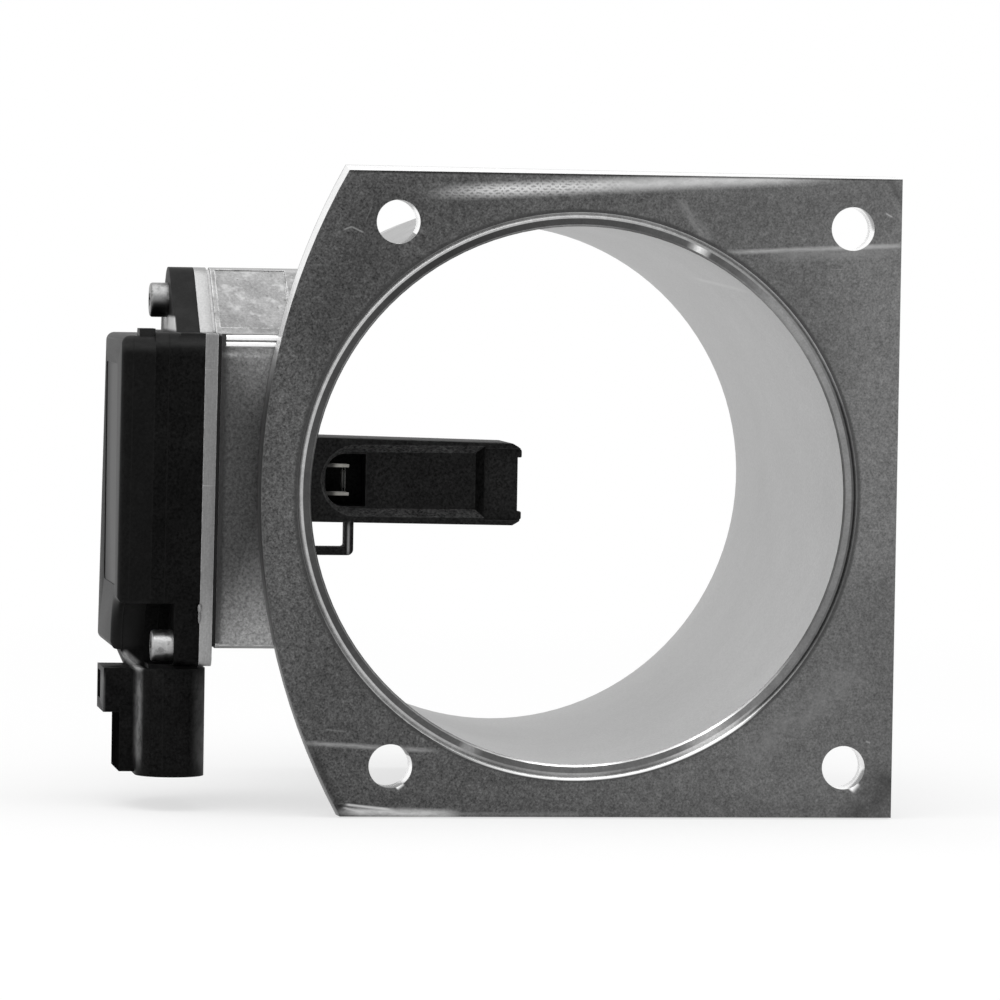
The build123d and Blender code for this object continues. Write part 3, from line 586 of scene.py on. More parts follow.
def milled_face():
    """Milled sealing face of the flange: grain, cutter lines and rubbed streaks."""
    f = Finish("milled_flange_face", tones().face_left_in_painted_shade, 1.0, 0.48)
    x = f.along("X")
    # Painted light: the face grows lighter from left to right.
    f.cover(x.ease(-42, 46), tones().face_right_in_painted_light)
    # Painted sheen and painted shade over broad areas.
    for across, up, *rest in FLANGE_SHEEN:
        f.lay_streak((across, 0, up), *rest)
    coarser = x.ease(-42, 46, 1.12, 0.66)
    f.grain(0.32, coarser * 0.6)
    f.grain(0.9, coarser * 0.3)
    f.grain(8.0, 0.1)
    lines = f.brush(2.4, 14.0, 0.3, 0.06)
    hatch = f.effect("crosshatch", angle=radians(57), pitch=0.64)["Mask"]
    ridges = (hatch - 0.5) * x.ease(10, -6, 0.0, 0.62)
    f.cover(f.streak((8.0, 0.0, 46.4), 3.4, 68.0, 3.2, 0.2) * (ridges + 0.74), 222, 0.86)
    # Rubbed streaks, painted highlights and painted shadows.
    for across, up, *rest in FLANGE_RUBS_AND_PAINTED_LIGHT:
        f.lay_streak((across, 0, up), *rest)
    f.scratch(0.4, 140)
    f.wear_and_highlight(0.2, 1.5, 150, 0.25)
    turn, reach = f.around_bore()
    # Painted shade: a dark ring just outside the groove.
    f.cover(reach.ease(42.8, 42.35), 62, 0.75)
    # Painted highlight on the groove's edge, over the arc near the bottom.
    f.cover(reach.ease(42.4, 42.2) * tone_by_angle(f.tree, turn, GROOVE_HIGHLIGHT), 242)
    f.uneven_gloss(0.3, 0.1)
    f.bump(lines, 0.012)
    return f.done()


def turned_ring(name, inner, outer=None, border=0.0):
    """Turned metal whose tone runs round the bore as painted light and shade, with other tones beyond a
    given distance.
    """
    f = Finish(name, 66, 1.0, 0.3)
    turn, reach = f.around_bore()
    f.colour = tone_by_angle(f.tree, turn, inner)
    if outer:
        beyond = reach.ease(border - 0.05, border + 0.05)
        f.colour = blend_colours(f.tree, beyond, f.colour, tone_by_angle(f.tree, turn, outer))
    f.grain(0.3, 0.16)
    f.grain(2.5, 0.12)
    f.uneven_gloss(0.6, 0.1)
    return f.done()


def flange_side():
    """Side of the flange as cast: painted light where it faces up, painted shade towards the pad and below.
    """
    f = Finish("flange_side", 110, 1.0, 0.42)
    # Painted light on the upper part, painted shade on the lower part and at the back edge beside the pad.
    f.cover(f.along("Z").ease(13, 25), 238)
    f.cover(f.along("Z").ease(-14, -24), 92)
    f.cover(f.along("Y").ease(4.5, 4.9), 96, 0.8)
    f.grain(0.3, 0.12)
    skin = f.effect("cast skin", contrast=0.08)
    f.shade(skin["Shade"])
    f.scratch(0.5, 215)
    f.bump(skin["Height"], 0.02)
    return f.done()


def machined_wall(name, tone, roughness):
    """Freshly cut, bright metal with fine tool lines. The beads get a near-white tone here as a painted
    highlight.
    """
    f = Finish(name, tone, 1.0, roughness)
    f.brush(0, 3.0, 0.1, 0.05)
    f.grain(0.4, 0.06)
    f.uneven_gloss(0.6, 0.05)
    return f.done()


def bored_wall():
    """Machined bore: even, light, with faint turning lines and a few scuffs, and painted shade deeper in
    and low down.
    """
    f = Finish("bored_wall", tones().bore, 1.0, 0.55)
    y = f.along("Y")
    # Painted shade: darker towards the back and towards the bottom.
    f.cover(y.ease(0, 88), tones().bore - 26)
    f.shade(f.along("Z").ease(-22, -38, 1.0, 0.93))
    f.grain(0.4, 0.1)
    f.grain(12.0, 0.03)
    rings = noise(f.tree, place(f.tree, "CombineXYZ", {0: y * 5.0}).outputs[0], 1.0, detail=3.0)
    f.shade(rings.ease(0.2, 0.8, 0.975, 1.025))
    arc = (f.around_bore()[0] - radians(SCUFF_TURN)) * 40.0
    depth = y - SCUFF_DEPTH
    f.cover(abs(arc - depth * SCUFF_SLOPE).ease(SCUFF_WIDTH, 0.0) * abs(depth).ease(19, 12), 228, 0.45)
    f.scratch(0.4, 232)
    f.bump(rings, 0.01)
    return f.done()


def cast_finish(name, tone, contrast, wear_and_highlight):
    """Die-cast aluminium as it leaves the die, with edges lightened where worn and by painted highlight,
    and a little dust.
    """
    f = Finish(name, tone, 1.0, 0.5)
    skin = f.effect("cast skin", contrast=contrast)
    f.shade(skin["Shade"])
    f.grain(0.2, 0.07)
    f.cover(skin["Pits"], 70, 0.6)
    f.scratch(0.5, 205)
    f.wear_and_highlight(0.4, 2.0, 232, wear_and_highlight)
    f.dust(0.35, 190)
    f.roughen(skin["Height"], 0.12)
    f.bump(skin["Height"], 0.03)
    return f


def roof_panel():
    """Sunk panel on top of the pad: mottled, with small bright flecks."""
    f = cast_finish("cast_roof_panel", 132, 0.24, 0.7)
    f.grain(0.45, 0.22)
    f.cover(f.effect("grain", width=2.0)["Height"].ease(0.5, 0.72), 190, 0.45)
    return f.done()


def pad_face():
    """Drawn front face of the pad: painted shade at its middle, painted light towards the lower right, a
    painted highlight under the beads, and a painted shadow beside the plate.
    """
    f = Finish("pad_front_face", 84, 1.0, 0.46)
    x, z = f.along("X"), f.along("Z")
    # Painted light towards the lower right, and towards the right in the upper part.
    f.cover((x - z).ease(-42, -20), 172)
    f.cover(z.ease(9, 21) * x.ease(-54, -46), 150, 0.8)
    # Painted highlight under the beads.
    f.lay_streak((-48.5, 0.0, 20.2), 0.0, 14.0, 1.5, 0.4, 172, 0.6)
    f.grain(0.42, 0.5)
    f.wear_and_highlight(0.3, 2.0, 160, 0.7, within=x.ease(-52.2, -51.2))
    # Painted shadow beside the plate.
    f.cover(x.ease(-51.6, -52.8), 46, 0.8)
    f.cover(z.ease(-22.9, -23.4), 205, 0.8)
    f.bump(f.effect("cast skin")["Height"], 0.015)
    return f.done()


def stamped_plate():
    """Stamped aluminium plate with a sheared, slightly torn edge."""
    f = Finish("stamped_plate", tones().plate, 1.0, 0.42)
    # Painted light: lighter on the top bend and low down on the edge.
    f.cover(f.along("Z").ease(22.8, 23.8), tones().plate + 28)
    f.cover(f.along("Z").ease(-12, -22), tones().plate + 22)
    f.brush(90, 7.0, 0.16, 0.12)
    f.grain(0.3, 0.14)
    f.scratch(0.6, 215)
    f.wear_and_highlight(0.25, 1.2, 218, 0.8)
    f.pebble(0.35, 0.02)
    return f.done()


def gasket_fibre():
    """Pressed fibre of the thin gasket."""
    f = Finish("gasket_fibre", 34, 0.0, 0.85, specular=0.2)
    # Painted light: lighter along the top.
    f.cover(f.along("Z").ease(23, 23.8), 205)
    f.brush(35, 1.2, 0.1, 0.3)
    f.grain(0.15, 0.2)
    f.pebble(0.12, 0.03)
    return f.done()


def moulded(name, tone, specular, wear_and_highlight, seam_axis, seam_at, marks=()):
    """Glass-filled black plastic: spark-eroded texture, a mould seam, dust, edges lightened where worn and
    by painted highlight, painted light along the top, and painted highlights laid as streaks.
    """
    f = Finish(name, tone, 0.0, 0.4, specular=specular)
    texture = f.grain(0.42, 1.3)
    f.grain(5.0, 0.3)
    f.wear_and_highlight(0.25, 1.1, tone + wear_and_highlight, 0.6)
    f.scratch(0.3, tone + wear_and_highlight)
    # Painted light: lighter towards the top.
    f.cover(f.along("Z").ease(19.6, 22.6), tone + 34, 0.5)
    f.dust(0.25, tone + 60)
    # Painted highlights, laid as streaks.
    for centre, *rest in marks:
        f.lay_streak(centre, *rest, within=f.along("Y").ease(centre[1] + 3, centre[1] - 3))
    seam = f.effect("seam line", axis=seam_axis, at=seam_at, width=0.14)["Mask"]
    f.cover(seam, tone + 16, 0.4)
    f.roughen(texture, 0.12)
    f.pebble(0.3, 0.012)
    f.bump(seam, 0.04)
    return f.done()


def sunk_field():
    """Bare sunk field on the cover: smoother, with faint polishing."""
    f = Finish("bare_sunk_field", tones().moulded + 2, 0.0, 0.38, specular=0.046)
    f.brush(90, 5.0, 0.2, 0.12)
    f.grain(1.6, 0.14)
    f.dust(0.2, 90)
    f.pebble(0.3, 0.006)
    return f.done()


def seal_rubber():
    """Silicone of the sealing ring."""
    f = Finish("seal_rubber", 34, 0.0, 0.5, specular=0.3)
    f.grain(0.5, 0.1)
    f.bump(f.effect("seam line", at=-48.0, width=0.08)["Mask"], 0.04)
    f.dust(0.3, 170)
    return f.done()


def plated_screw(name, tone, underside_shade):
    """Zinc-plated steel, bright on the edges where worn and by painted highlight, with painted shade on
    what faces down.
    """
    f = Finish(name, tone, 1.0, 0.3)
    f.grain(0.35, 0.16)
    f.brush(90, 2.0, 0.08, 0.08)
    f.wear_and_highlight(0.15, 0.6, 225, 0.8)
    # Painted shade on what faces down.
    f.cover(facing_up(f.tree).ease(0.3, -0.5), 34, underside_shade)
    f.cover(noise(f.tree, millimetres(f.tree), 1.3, detail=3.0).ease(0.5, 0.64), 70, 0.5)
    f.uneven_gloss(0.6, 0.18)
    return f.done()


def drawn_metal(name, colour, roughness):
    """Drawn strip or wire, with lines along its length and a trace of tarnish."""
    f = Finish(name, colour, 1.0, roughness)
    f.brush(0, 2.5, 0.05, 0.12)
    f.grain(0.9, 0.16)
    f.wear_and_highlight(0.08, 0.5, 205, 0.4)
    return f


def plated_post():
    """Post of a sensing element, with painted shade where it comes out of the moulding."""
    f = drawn_metal("plated_post", (0.22, 0.215, 0.2, 1.0), 0.35)
    # Painted shade where the post leaves the moulding.
    f.cover(f.along("X").ease(-33.8, -34.9), 26, 0.9)
    return f.done()


def fired_ceramic(name, colour, roughness, contrast):
    """Fired ceramic or resin, with fine specks."""
    f = Finish(name, colour, 0.0, roughness)
    f.grain(0.12, contrast)
    f.pebble(0.1, 0.008)
    return f.done()


def glass_bead():
    """Dark glass over the thermistor's chip, with slight swirls."""
    f = Finish("glass_bead", 60, 0.0, 0.08)
    f.grain(0.5, 0.3)
    f.shader.inputs["Coat Weight"].default_value = 0.6
    return f.done()


def track_mask(f, axis, shift, cell_scale):
    """Printed tracks across an axis, and where its cells let them show."""
    wave = (f.along(axis) * 0.62 + shift).calc("FRACT")
    cells = place(f.tree, "TexVoronoi", {"Vector": millimetres(f.tree), "Scale": cell_scale},
                  distance="CHEBYCHEV")
    gate = split(f.tree, cells.outputs["Color"])[0].ease(0.48, 0.52)
    return abs(wave - 0.5).ease(0.14, 0.1), gate


def printed_board():
    """Ceramic board with printed conductor tracks."""
    f = Finish("printed_board", (0.62, 0.6, 0.55, 1.0), 0.0, 0.45)
    upright, gate = track_mask(f, "Y", 0.0, 0.18)
    level_tracks, other_gate = track_mask(f, "Z", 0.35, 0.2)
    tracks = (upright * gate).calc("MAXIMUM", level_tracks * (1.0 - other_gate))
    f.cover(tracks, (0.42, 0.38, 0.3, 1.0))
    f.grain(0.2, 0.06)
    f.bump(tracks, 0.02)
    return f.done()


def sealant():
    """Cured grey sealant that squeezed out of the joint."""
    f = Finish("cured_sealant", 138, 0.0, 0.5)
    f.grain(0.5, 0.2)
    f.pebble(0.4, 0.05)
    return f.done()


def make_finishes():
    """All materials by name, built once."""
    t = tones()
    x_axis, z_axis = (1.0, 0.0, 0.0), (0.0, 0.0, 1.0)
    return {
        "milled": milled_face(),
        "rim": turned_ring("turned_rim", RIM_LIGHT_AND_SHADE, GROOVE_INNER_LIGHT_AND_SHADE, 41.2),
        "groove": turned_ring("turned_groove", GROOVE_INNER_LIGHT_AND_SHADE, GROOVE_OUTER_LIGHT_AND_SHADE, 41.8),
        "mouth": turned_ring("bore_mouth", MOUTH_LIGHT_AND_SHADE), "bore": bored_wall(),
        # The drilled holes' full white tone is a painted highlight.
        "side": flange_side(), "hole": machined_wall("drilled_hole_painted_light", 255, 0.2),
        # The beads' near-white tone is a painted highlight.
        "rib": machined_wall("bead_painted_highlight", 246, 0.34),
        "spigot": machined_wall("turned_spigot", 176, 0.4),
        "skin": cast_finish("cast_skin", t.skin, 0.1, 0.7).done(),
        "roof": roof_panel(),
        "pad": pad_face(), "plate": stamped_plate(), "gasket": gasket_fibre(),
        "case": moulded("moulded_case", t.moulded + 4, 0.04, 16, x_axis, -60.7, CASE_HIGHLIGHTS),
        # A copy of the case's finish painted darker as shade, for the connector's outer side.
        "shaded case": moulded("moulded_case_painted_shade", t.moulded, 0.0, 60, x_axis, -60.7),
        "cover": moulded("moulded_cover", t.moulded, 0.08, 22, x_axis, -66.0, COVER_HIGHLIGHTS),
        "field": sunk_field(),
        "probe": moulded("moulded_probe", t.probe, 0.06, 40, z_axis, -60.0, PROBE_HIGHLIGHTS),
        # Lighter and darker copies of the probe's finish: painted light on the pocket's slopes, painted
        # shade at its end.
        "probe slope": moulded("probe_pocket_edge_painted_light", t.probe + 30, 0.06, 30, z_axis, -60.0),
        "probe end": moulded("probe_pocket_end_painted_shade", t.probe - 10, 0.03, 30, z_axis, -60.0),
        "seal": seal_rubber(),
        "screw": plated_screw("plated_screw", t.screw, 0.9),
        # The lower screw's copy is painted lighter, with less painted shade underneath.
        "lit screw": plated_screw("plated_screw_painted_lighter", t.screw + 34, 0.35),
        "post": plated_post(),
        "contact": drawn_metal("tinned_contact", (0.55, 0.54, 0.52, 1.0), 0.28).done(),
        "wire": drawn_metal("platinum_wire", (0.14, 0.14, 0.13, 1.0), 0.3).done(),
        "bobbin": fired_ceramic("glazed_bobbin", (0.05, 0.05, 0.047, 1.0), 0.3, 0.2),
        "chip": fired_ceramic("chip_resin", 26, 0.5, 0.3),
        "capacitor": fired_ceramic("capacitor_body", (0.32, 0.22, 0.13, 1.0), 0.3, 0.12),
        "bead": glass_bead(), "board": printed_board(), "sealant": sealant(),
    }


FINISHES = {}


def finish_of(name):
    """A finished material. All of them are built when the first is asked for."""
    if not FINISHES:
        FINISHES.update(make_finishes())
    return FINISHES[name]


# Modelling helpers
def deselect():
    bpy.ops.object.select_all(action="DESELECT")


def leave_edit():
    bpy.ops.object.mode_set(mode="OBJECT")


def edit_all():
    """Opens edit mode with the whole mesh selected."""
    bpy.ops.object.mode_set(mode="EDIT")
    bpy.ops.mesh.select_all(action="SELECT")


def activate(piece):
    """Deselects everything, then selects this piece and makes it active."""
    if bpy.context.mode != "OBJECT":
        leave_edit()
    deselect()
    piece.select_set(True)
    bpy.context.view_layer.objects.active = piece


def add(primitive, name, **settings):
    """Adds a primitive with nothing else selected, and moves its place into its mesh."""
    deselect()
    primitive(**settings)
    piece = bpy.context.active_object
    piece.name = name
    piece.data.name = name
    bpy.ops.object.transform_apply(location=True, rotation=True, scale=True)
    return piece


def add_rod(name, radius, length, centre, sides, along_x=False):
    """Adds a round rod that stands upright or lies along X."""
    turned = (0.0, pi / 2, 0.0) if along_x else (0.0, 0.0, 0.0)
    return add(bpy.ops.mesh.primitive_cylinder_add, name, vertices=sides, radius=radius,
               depth=length, location=centre, rotation=turned)


def pick_faces(piece, test):
    """Opens edit mode with only the faces selected whose centre and normal pass the test."""
    activate(piece)
    bpy.ops.object.mode_set(mode="EDIT")
    bpy.ops.mesh.select_mode(type="FACE")
    bpy.ops.mesh.select_all(action="DESELECT")
    leave_edit()
    for face in piece.data.polygons:
        face.select = bool(test(face.center, face.normal))
    bpy.ops.object.mode_set(mode="EDIT")


def round_end(piece, offset, segments, test):
    """Rounds the edges of the faces that pass the test."""
    pick_faces(piece, test)
    bpy.ops.mesh.bevel(offset=offset, segments=segments, affect="EDGES")
    leave_edit()


def extrude(x, y, z):
    """Extrudes the picked faces."""
    bpy.ops.mesh.extrude_region_move(TRANSFORM_OT_translate={"value": (x, y, z)})


def smooth(angle):
    bpy.ops.object.shade_smooth_by_angle(angle=radians(angle))


def paint(piece, *names):
    """Gives a piece its material slots."""
    piece.data.materials.clear()
    for name in names:
        piece.data.materials.append(finish_of(name))


def round_edges(piece, width):
    """Rounds the sharp edges and keeps the shading of the flat faces flat."""
    activate(piece)
    rounding = piece.modifiers.new("rounding", "BEVEL")
    rounding.width = width
    rounding.segments = 2
    rounding.limit_method = "ANGLE"
    rounding.angle_limit = radians(35)
    rounding.miter_outer = "MITER_ARC"
    bpy.ops.object.modifier_apply(modifier=rounding.name)
    smooth(35)


def copy_of(node, name):
    """A copy of a CAD node with its loose triangles joined and its flat faces made whole."""
    piece = bpy.data.objects.new(name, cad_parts[node].data.copy())
    piece.data.name = name
    bpy.context.scene.collection.objects.link(piece)
    activate(piece)
    bpy.ops.object.mode_set(mode="EDIT")
    bpy.ops.mesh.select_mode(type="VERT")
    bpy.ops.mesh.select_all(action="SELECT")
    bpy.ops.mesh.remove_doubles(threshold=0.002 * MM)
    bpy.ops.mesh.customdata_custom_splitnormals_clear()
    bpy.ops.mesh.dissolve_limited(angle_limit=radians(0.4))
    leave_edit()
    return piece


def settle(piece, slot, *nodes):
    """Puts a finished piece on the body, in place of its CAD nodes."""
    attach(piece, "root")
    if nodes:
        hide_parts(*nodes)


def dress(piece, node, slot, edge, finishes, choose=None):
    """Paints a copy of a CAD node, rounds its edges and puts it in the node's place.

    choose gives a face's finish by its number, from the mesh and the face.
    """
    paint(piece, *finishes)
    if choose:
        for face in piece.data.polygons:
            face.material_index = choose(piece.data, face)
    round_edges(piece, edge)
    settle(piece, slot, node)


def join(name, pieces):
    """Joins pieces into one mesh."""
    activate(pieces[0])
    for piece in pieces:
        piece.select_set(True)
    bpy.ops.object.join()
    joined = bpy.context.active_object
    joined.name = name
    joined.data.name = name
    return joined


def coil(name, start, axis, radius, thickness, pitch, turns, steps, sides):
    """A wire or thread wound round an axis, closed at both ends."""
    turned = (0.0, 0.0, 0.0) if axis == "X" else (pi / 2, 0.0, 0.0)
    out = (0.0, radius, 0.0) if axis == "X" else (radius, 0.0, 0.0)
    deselect()
    bpy.ops.mesh.primitive_circle_add(vertices=sides, radius=thickness / 2, location=start,
                                      rotation=turned)
    piece = bpy.context.active_object
    piece.name = name
    bpy.ops.object.transform_apply(location=False, rotation=True, scale=True)
    edit_all()
    bpy.ops.transform.translate(value=out)
    leave_edit()
    winding = piece.modifiers.new("winding", "SCREW")
    winding.axis = axis
    winding.screw_offset = pitch
    winding.iterations = turns
    winding.steps = winding.render_steps = steps
    bpy.ops.object.modifier_apply(modifier=winding.name)
    bpy.ops.object.transform_apply(location=True, rotation=True, scale=True)
    edit_all()
    bpy.ops.mesh.remove_doubles(threshold=thickness / 50)
    bpy.ops.mesh.fill_holes(sides=sides)
    bpy.ops.mesh.select_all(action="SELECT")
    bpy.ops.mesh.normals_make_consistent(inside=False)
    leave_edit()
    return piece


# Pieces
CASTING_FINISHES = ("skin", "milled", "rim", "groove", "mouth", "bore", "side", "hole", "rib",
                    "roof", "pad", "spigot")
BOLT_PLACES = tuple((x, z) for x in (-27.6, 40.7) for z in (-40.25, 40.25))
# Limits between the casting's surfaces, all in mm. A reach is a distance from the bore's axis, or for
# a bolt hole from the hole's, and an end is how far back a surface comes.
MOUTH_REACH, RIM_REACH, GROOVE_REACH, SPIGOT_REACH, SIDE_REACH, HOLE_REACH = 40.4, 41.6, 42.2, 42, 46.6, 3.4
FACE_END, GROOVE_END, SIDE_END, HOLE_END, RIB_END, PAD_END = 0.01, 0.4, 5.1, 5.6, 6.2, 12
SPIGOT_START = 60
PAD_RIGHT, ROOF_FOOT = -38, 23.2
RIB_LEFT, RIB_RIGHT, RIB_FOOT, RIB_TOP = -53, -40, 20.9, 23.5


def casting_surface(places, normal):
    """Which finish a face of the casting has, from its corners in millimetres and its normal."""
    reach = [hypot(p.x, p.z) for p in places]
    depth = max(p.y for p in places)
    left, right = min(p.x for p in places), max(p.x for p in places)
    lowest = min(p.z for p in places)
    if depth < FACE_END:
        return "rim" if max(reach) < RIM_REACH else "milled"
    if depth < GROOVE_END and max(reach) < GROOVE_REACH:
        return "mouth" if max(reach) < MOUTH_REACH else "groove"
    if max(reach) < MOUTH_REACH:
        return "bore"
    if min(p.y for p in places) > SPIGOT_START and min(reach) > SPIGOT_REACH:
        return "spigot"
    for x, z in BOLT_PLACES:
        if depth < HOLE_END and max(hypot(p.x - x, p.z - z) for p in places) < HOLE_REACH:
            return "hole"
    if depth < SIDE_END and abs(normal.y) < 0.5 and min(reach) > SIDE_REACH:
        return "side"
    if left > RIB_LEFT and right < RIB_RIGHT and depth < RIB_END and RIB_FOOT < lowest < RIB_TOP:
        return "rib"
    if normal.z > 0.6 and normal.y < -0.5 and lowest > ROOF_FOOT:
        return "roof"
    if normal.y < -0.9 and right < PAD_RIGHT and depth < PAD_END:
        return "pad"
    return "skin"


class SENSOR_OT_casting(bpy.types.Operator):
    """Dress the duct casting: rounded edges, and one finish for each machined or cast surface"""
    bl_idname = "sensor.casting"
    bl_label = "Duct Casting"

    def execute(self, context):
        def choose(mesh, face):
            places = [mesh.vertices[i].co / MM for i in face.vertices]
            return CASTING_FINISHES.index(casting_surface(places, face.normal))

        dress(copy_of("housing", "duct_casting"), "housing", "cast_aluminium",
              sizes().casting_edge, CASTING_FINISHES, choose)
        return {"FINISHED"}


class SENSOR_OT_plate(bpy.types.Operator):
    """Dress the stamped plate and the gasket between it and the casting"""
    bl_idname = "sensor.plate"
    bl_label = "Plate and Gasket"

    def execute(self, context):
        dress(copy_of("base_plate", "mounting_plate"), "base_plate", "plate_aluminium",
              sizes().plate_edge, ["plate"])
        dress(copy_of("plate_gasket", "fibre_gasket"), "plate_gasket", "gasket", 0.05 * MM, ["gasket"])
        return {"FINISHED"}


CONNECTOR_SIDE, CONNECTOR_TOP = -65.5 * MM, -33.7 * MM
# How far the sunk field's floor lies inside the cover's outer face, at least and at most
SUNK_LEAST, SUNK_MOST = 0.05 * MM, 0.3 * MM


class SENSOR_OT_case(bpy.types.Operator):
    """Dress the moulded case with its connector, and its cover with the bare sunk field"""
    bl_idname = "sensor.case"
    bl_label = "Case and Cover"

    def execute(self, context):
        def on_connector(mesh, face):
            """The outer side of the connector, painted a darker black as shade."""
            outer = face.normal.x < -0.8 and face.center.x < CONNECTOR_SIDE
            return 1 if outer and face.center.z < CONNECTOR_TOP else 0

        def on_field(mesh, face):
            """The floor of the sunk field."""
            sunk = outside + SUNK_LEAST < face.center.x < outside + SUNK_MOST
            return 1 if sunk and face.normal.x < -0.9 else 0

        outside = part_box("module_cover")[0].x
        dress(copy_of("module_case", "electronics_case"), "module_case", "black_plastic",
              sizes().plastic_edge, ["case", "shaded case"], on_connector)
        dress(copy_of("module_cover", "electronics_cover"), "module_cover", "black_plastic",
              sizes().plastic_edge, ["cover", "field"], on_field)
        return {"FINISHED"}


# The beads of sealant: Y and Z in mm, height and width
SEALANT_BEADS = ((8.1, -17.6, 0.95, 0.4), (8.35, -18.9, 1.3, 0.22))


class SENSOR_OT_sealant(bpy.types.Operator):
    """Model the small beads of sealant that squeezed out between case and plate"""
    bl_idname = "sensor.sealant"
    bl_label = "Sealant Beads"

    def execute(self, context):
        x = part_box("base_plate")[0].x - 0.05 * MM
        beads = []
        for number, (y, z, tall, wide) in enumerate(SEALANT_BEADS):
            beads.append(add(bpy.ops.mesh.primitive_ico_sphere_add, "sealant_%d" % number,
                             subdivisions=3, radius=1.0 * MM, location=(x, y * MM, z * MM),
                             scale=(wide * 0.7, 0.35, tall * 0.7)))
            edit_all()
            bpy.ops.transform.vertex_random(offset=0.06 * MM, uniform=0.0, normal=0.6, seed=number + 2)
            leave_edit()
        piece = join("sealant_beads", beads)
        paint(piece, "sealant")
        bpy.ops.object.shade_smooth()
        settle(piece, "seal")
        return {"FINISHED"}


HEAD_ROUNDING = 0.4 * MM
SHANK_RADIUS = 1.5 * MM
TIP_ROUNDING = 0.35 * MM
THREAD_START = 0.8 * MM
EAR_SCREW_LENGTH = 14.0 * MM
PLATE_SCREW_LENGTH, PLATE_HEAD_RADIUS, PLATE_HEAD_HEIGHT = 8.0 * MM, 2.2 * MM, 1.3 * MM
# Y and Z of the screws that hold the plate, in mm
PLATE_SCREWS = ((12.7, -13.0), (36.0, -14.0), (30.0, 18.4))


def model_screw(name, seat, head_radius, head_height, length, y, z, finish="screw"):
    """A screw along X: domed head with a six-lobed drive, core, thread and a blunt tip."""
    s = sizes()
    head = add_rod(name + "_head", head_radius, head_height, (seat - head_height / 2, y, z), 48, True)
    top = seat - head_height
    round_end(head, HEAD_ROUNDING, 3, lambda centre, normal: normal.x < -0.9)
    pick_faces(head, lambda centre, normal: normal.x < -0.95 and centre.x < top + 0.01 * MM)
    bpy.ops.mesh.inset(thickness=head_radius - HEAD_ROUNDING - s.drive_radius)
    leave_edit()
    floor = max((f for f in head.data.polygons if f.select), key=lambda f: f.area)
    for index in floor.vertices:
        point = head.data.vertices[index].co
        turn = atan2(point.z - z, point.y - y)
        reach = s.drive_radius + s.drive_lobe * cos(6 * turn)
        point.y, point.z = y + reach * cos(turn), z + reach * sin(turn)
    bpy.ops.object.mode_set(mode="EDIT")
    extrude(s.drive_depth, 0.0, 0.0)
    bpy.ops.mesh.inset(thickness=0.25 * MM)
    bpy.ops.transform.translate(value=(0.2 * MM, 0.0, 0.0))
    leave_edit()
    core_radius = SHANK_RADIUS - s.thread_depth
    core = add_rod(name + "_core", core_radius, length, (seat + length / 2, y, z), 32, True)
    round_end(core, TIP_ROUNDING, 2, lambda centre, normal: normal.x > 0.9)
    turns = max(int((length - 2 * THREAD_START) / s.thread_pitch), 1)
    thread = coil(name + "_thread", (seat + THREAD_START, y, z), "X", core_radius,
                  2 * s.thread_depth, s.thread_pitch, turns, steps=20, sides=3)
    piece = join(name, [head, core, thread])
    paint(piece, finish)
    smooth(30)
    return piece


class SENSOR_OT_screws(bpy.types.Operator):
    """Model the two screws in the case's ears and the three that hold the plate"""
    bl_idname = "sensor.screws"
    bl_label = "Screws"

    def execute(self, context):
        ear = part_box("upper_screw")[1].x - EAR_SCREW_LENGTH
        # The lower screw takes the copy of the screw finish that is painted lighter.
        for node, name, finish in (("upper_screw", "upper_ear_screw", "screw"),
                                   ("lower_screw", "lower_ear_screw", "lit screw")):
            low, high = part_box(node)
            length = high.x - ear
            seat = high.x - length
            piece = model_screw(name, seat, (high.z - low.z) / 2, seat - low.x, length,
                                (low.y + high.y) / 2, (low.z + high.z) / 2, finish)
            settle(piece, "screw", node)
        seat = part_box("plate_screws")[1].x - PLATE_SCREW_LENGTH
        made = []
        for number, (y, z) in enumerate(PLATE_SCREWS):
            made.append(model_screw("plate_screw_%d" % (number + 1), seat, PLATE_HEAD_RADIUS,
                                    PLATE_HEAD_HEIGHT, PLATE_SCREW_LENGTH, y * MM, z * MM))
        settle(join("plate_screw_set", made), "screw", "plate_screws")
        return {"FINISHED"}


POCKET_LEFT, POCKET_BACK = -40.0 * MM, 21.0 * MM


class SENSOR_OT_probe(bpy.types.Operator):
    """Dress the probe and its lid, and model the round sealing ring"""
    bl_idname = "sensor.probe"
    bl_label = "Probe and Seal"

    def execute(self, context):
        def in_pocket(mesh, face):
            """The sloped walls of the inlet pocket, painted lighter, and its steeper end, painted darker as
            shade.
            """
            slanted = -0.95 < face.normal.y < -0.2
            inside = face.center.x > POCKET_LEFT and face.center.y < POCKET_BACK
            if not (slanted and inside):
                return 0
            return 1 if face.normal.x > -0.5 else 2

        dress(copy_of("probe_body", "probe_moulding"), "probe_body", "black_plastic",
              sizes().plastic_edge, ["probe", "probe slope", "probe end"], in_pocket)
        dress(copy_of("probe_lid", "bypass_lid"), "probe_lid", "black_plastic", 0.1 * MM, ["probe"])
        low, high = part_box("probe_seal")
        ring = (high.x - low.x) / 2
        seal = add(bpy.ops.mesh.primitive_torus_add, "sealing_ring", location=(low + high) / 2,
                   rotation=(0.0, pi / 2, 0.0), major_segments=72, minor_segments=20,
                   major_radius=(high.z - low.z) / 2 - ring, minor_radius=ring)
        flash = low.x + ring
        pick_faces(seal, lambda centre, normal: abs(centre.x - flash) < 0.2 * MM)
        bpy.ops.mesh.inset(thickness=0.06 * MM, depth=-0.03 * MM)
        leave_edit()
        paint(seal, "seal")
        bpy.ops.object.shade_smooth()
        settle(seal, "seal", "probe_seal")
        return {"FINISHED"}


BOBBIN_LENGTH = 2.6 * MM
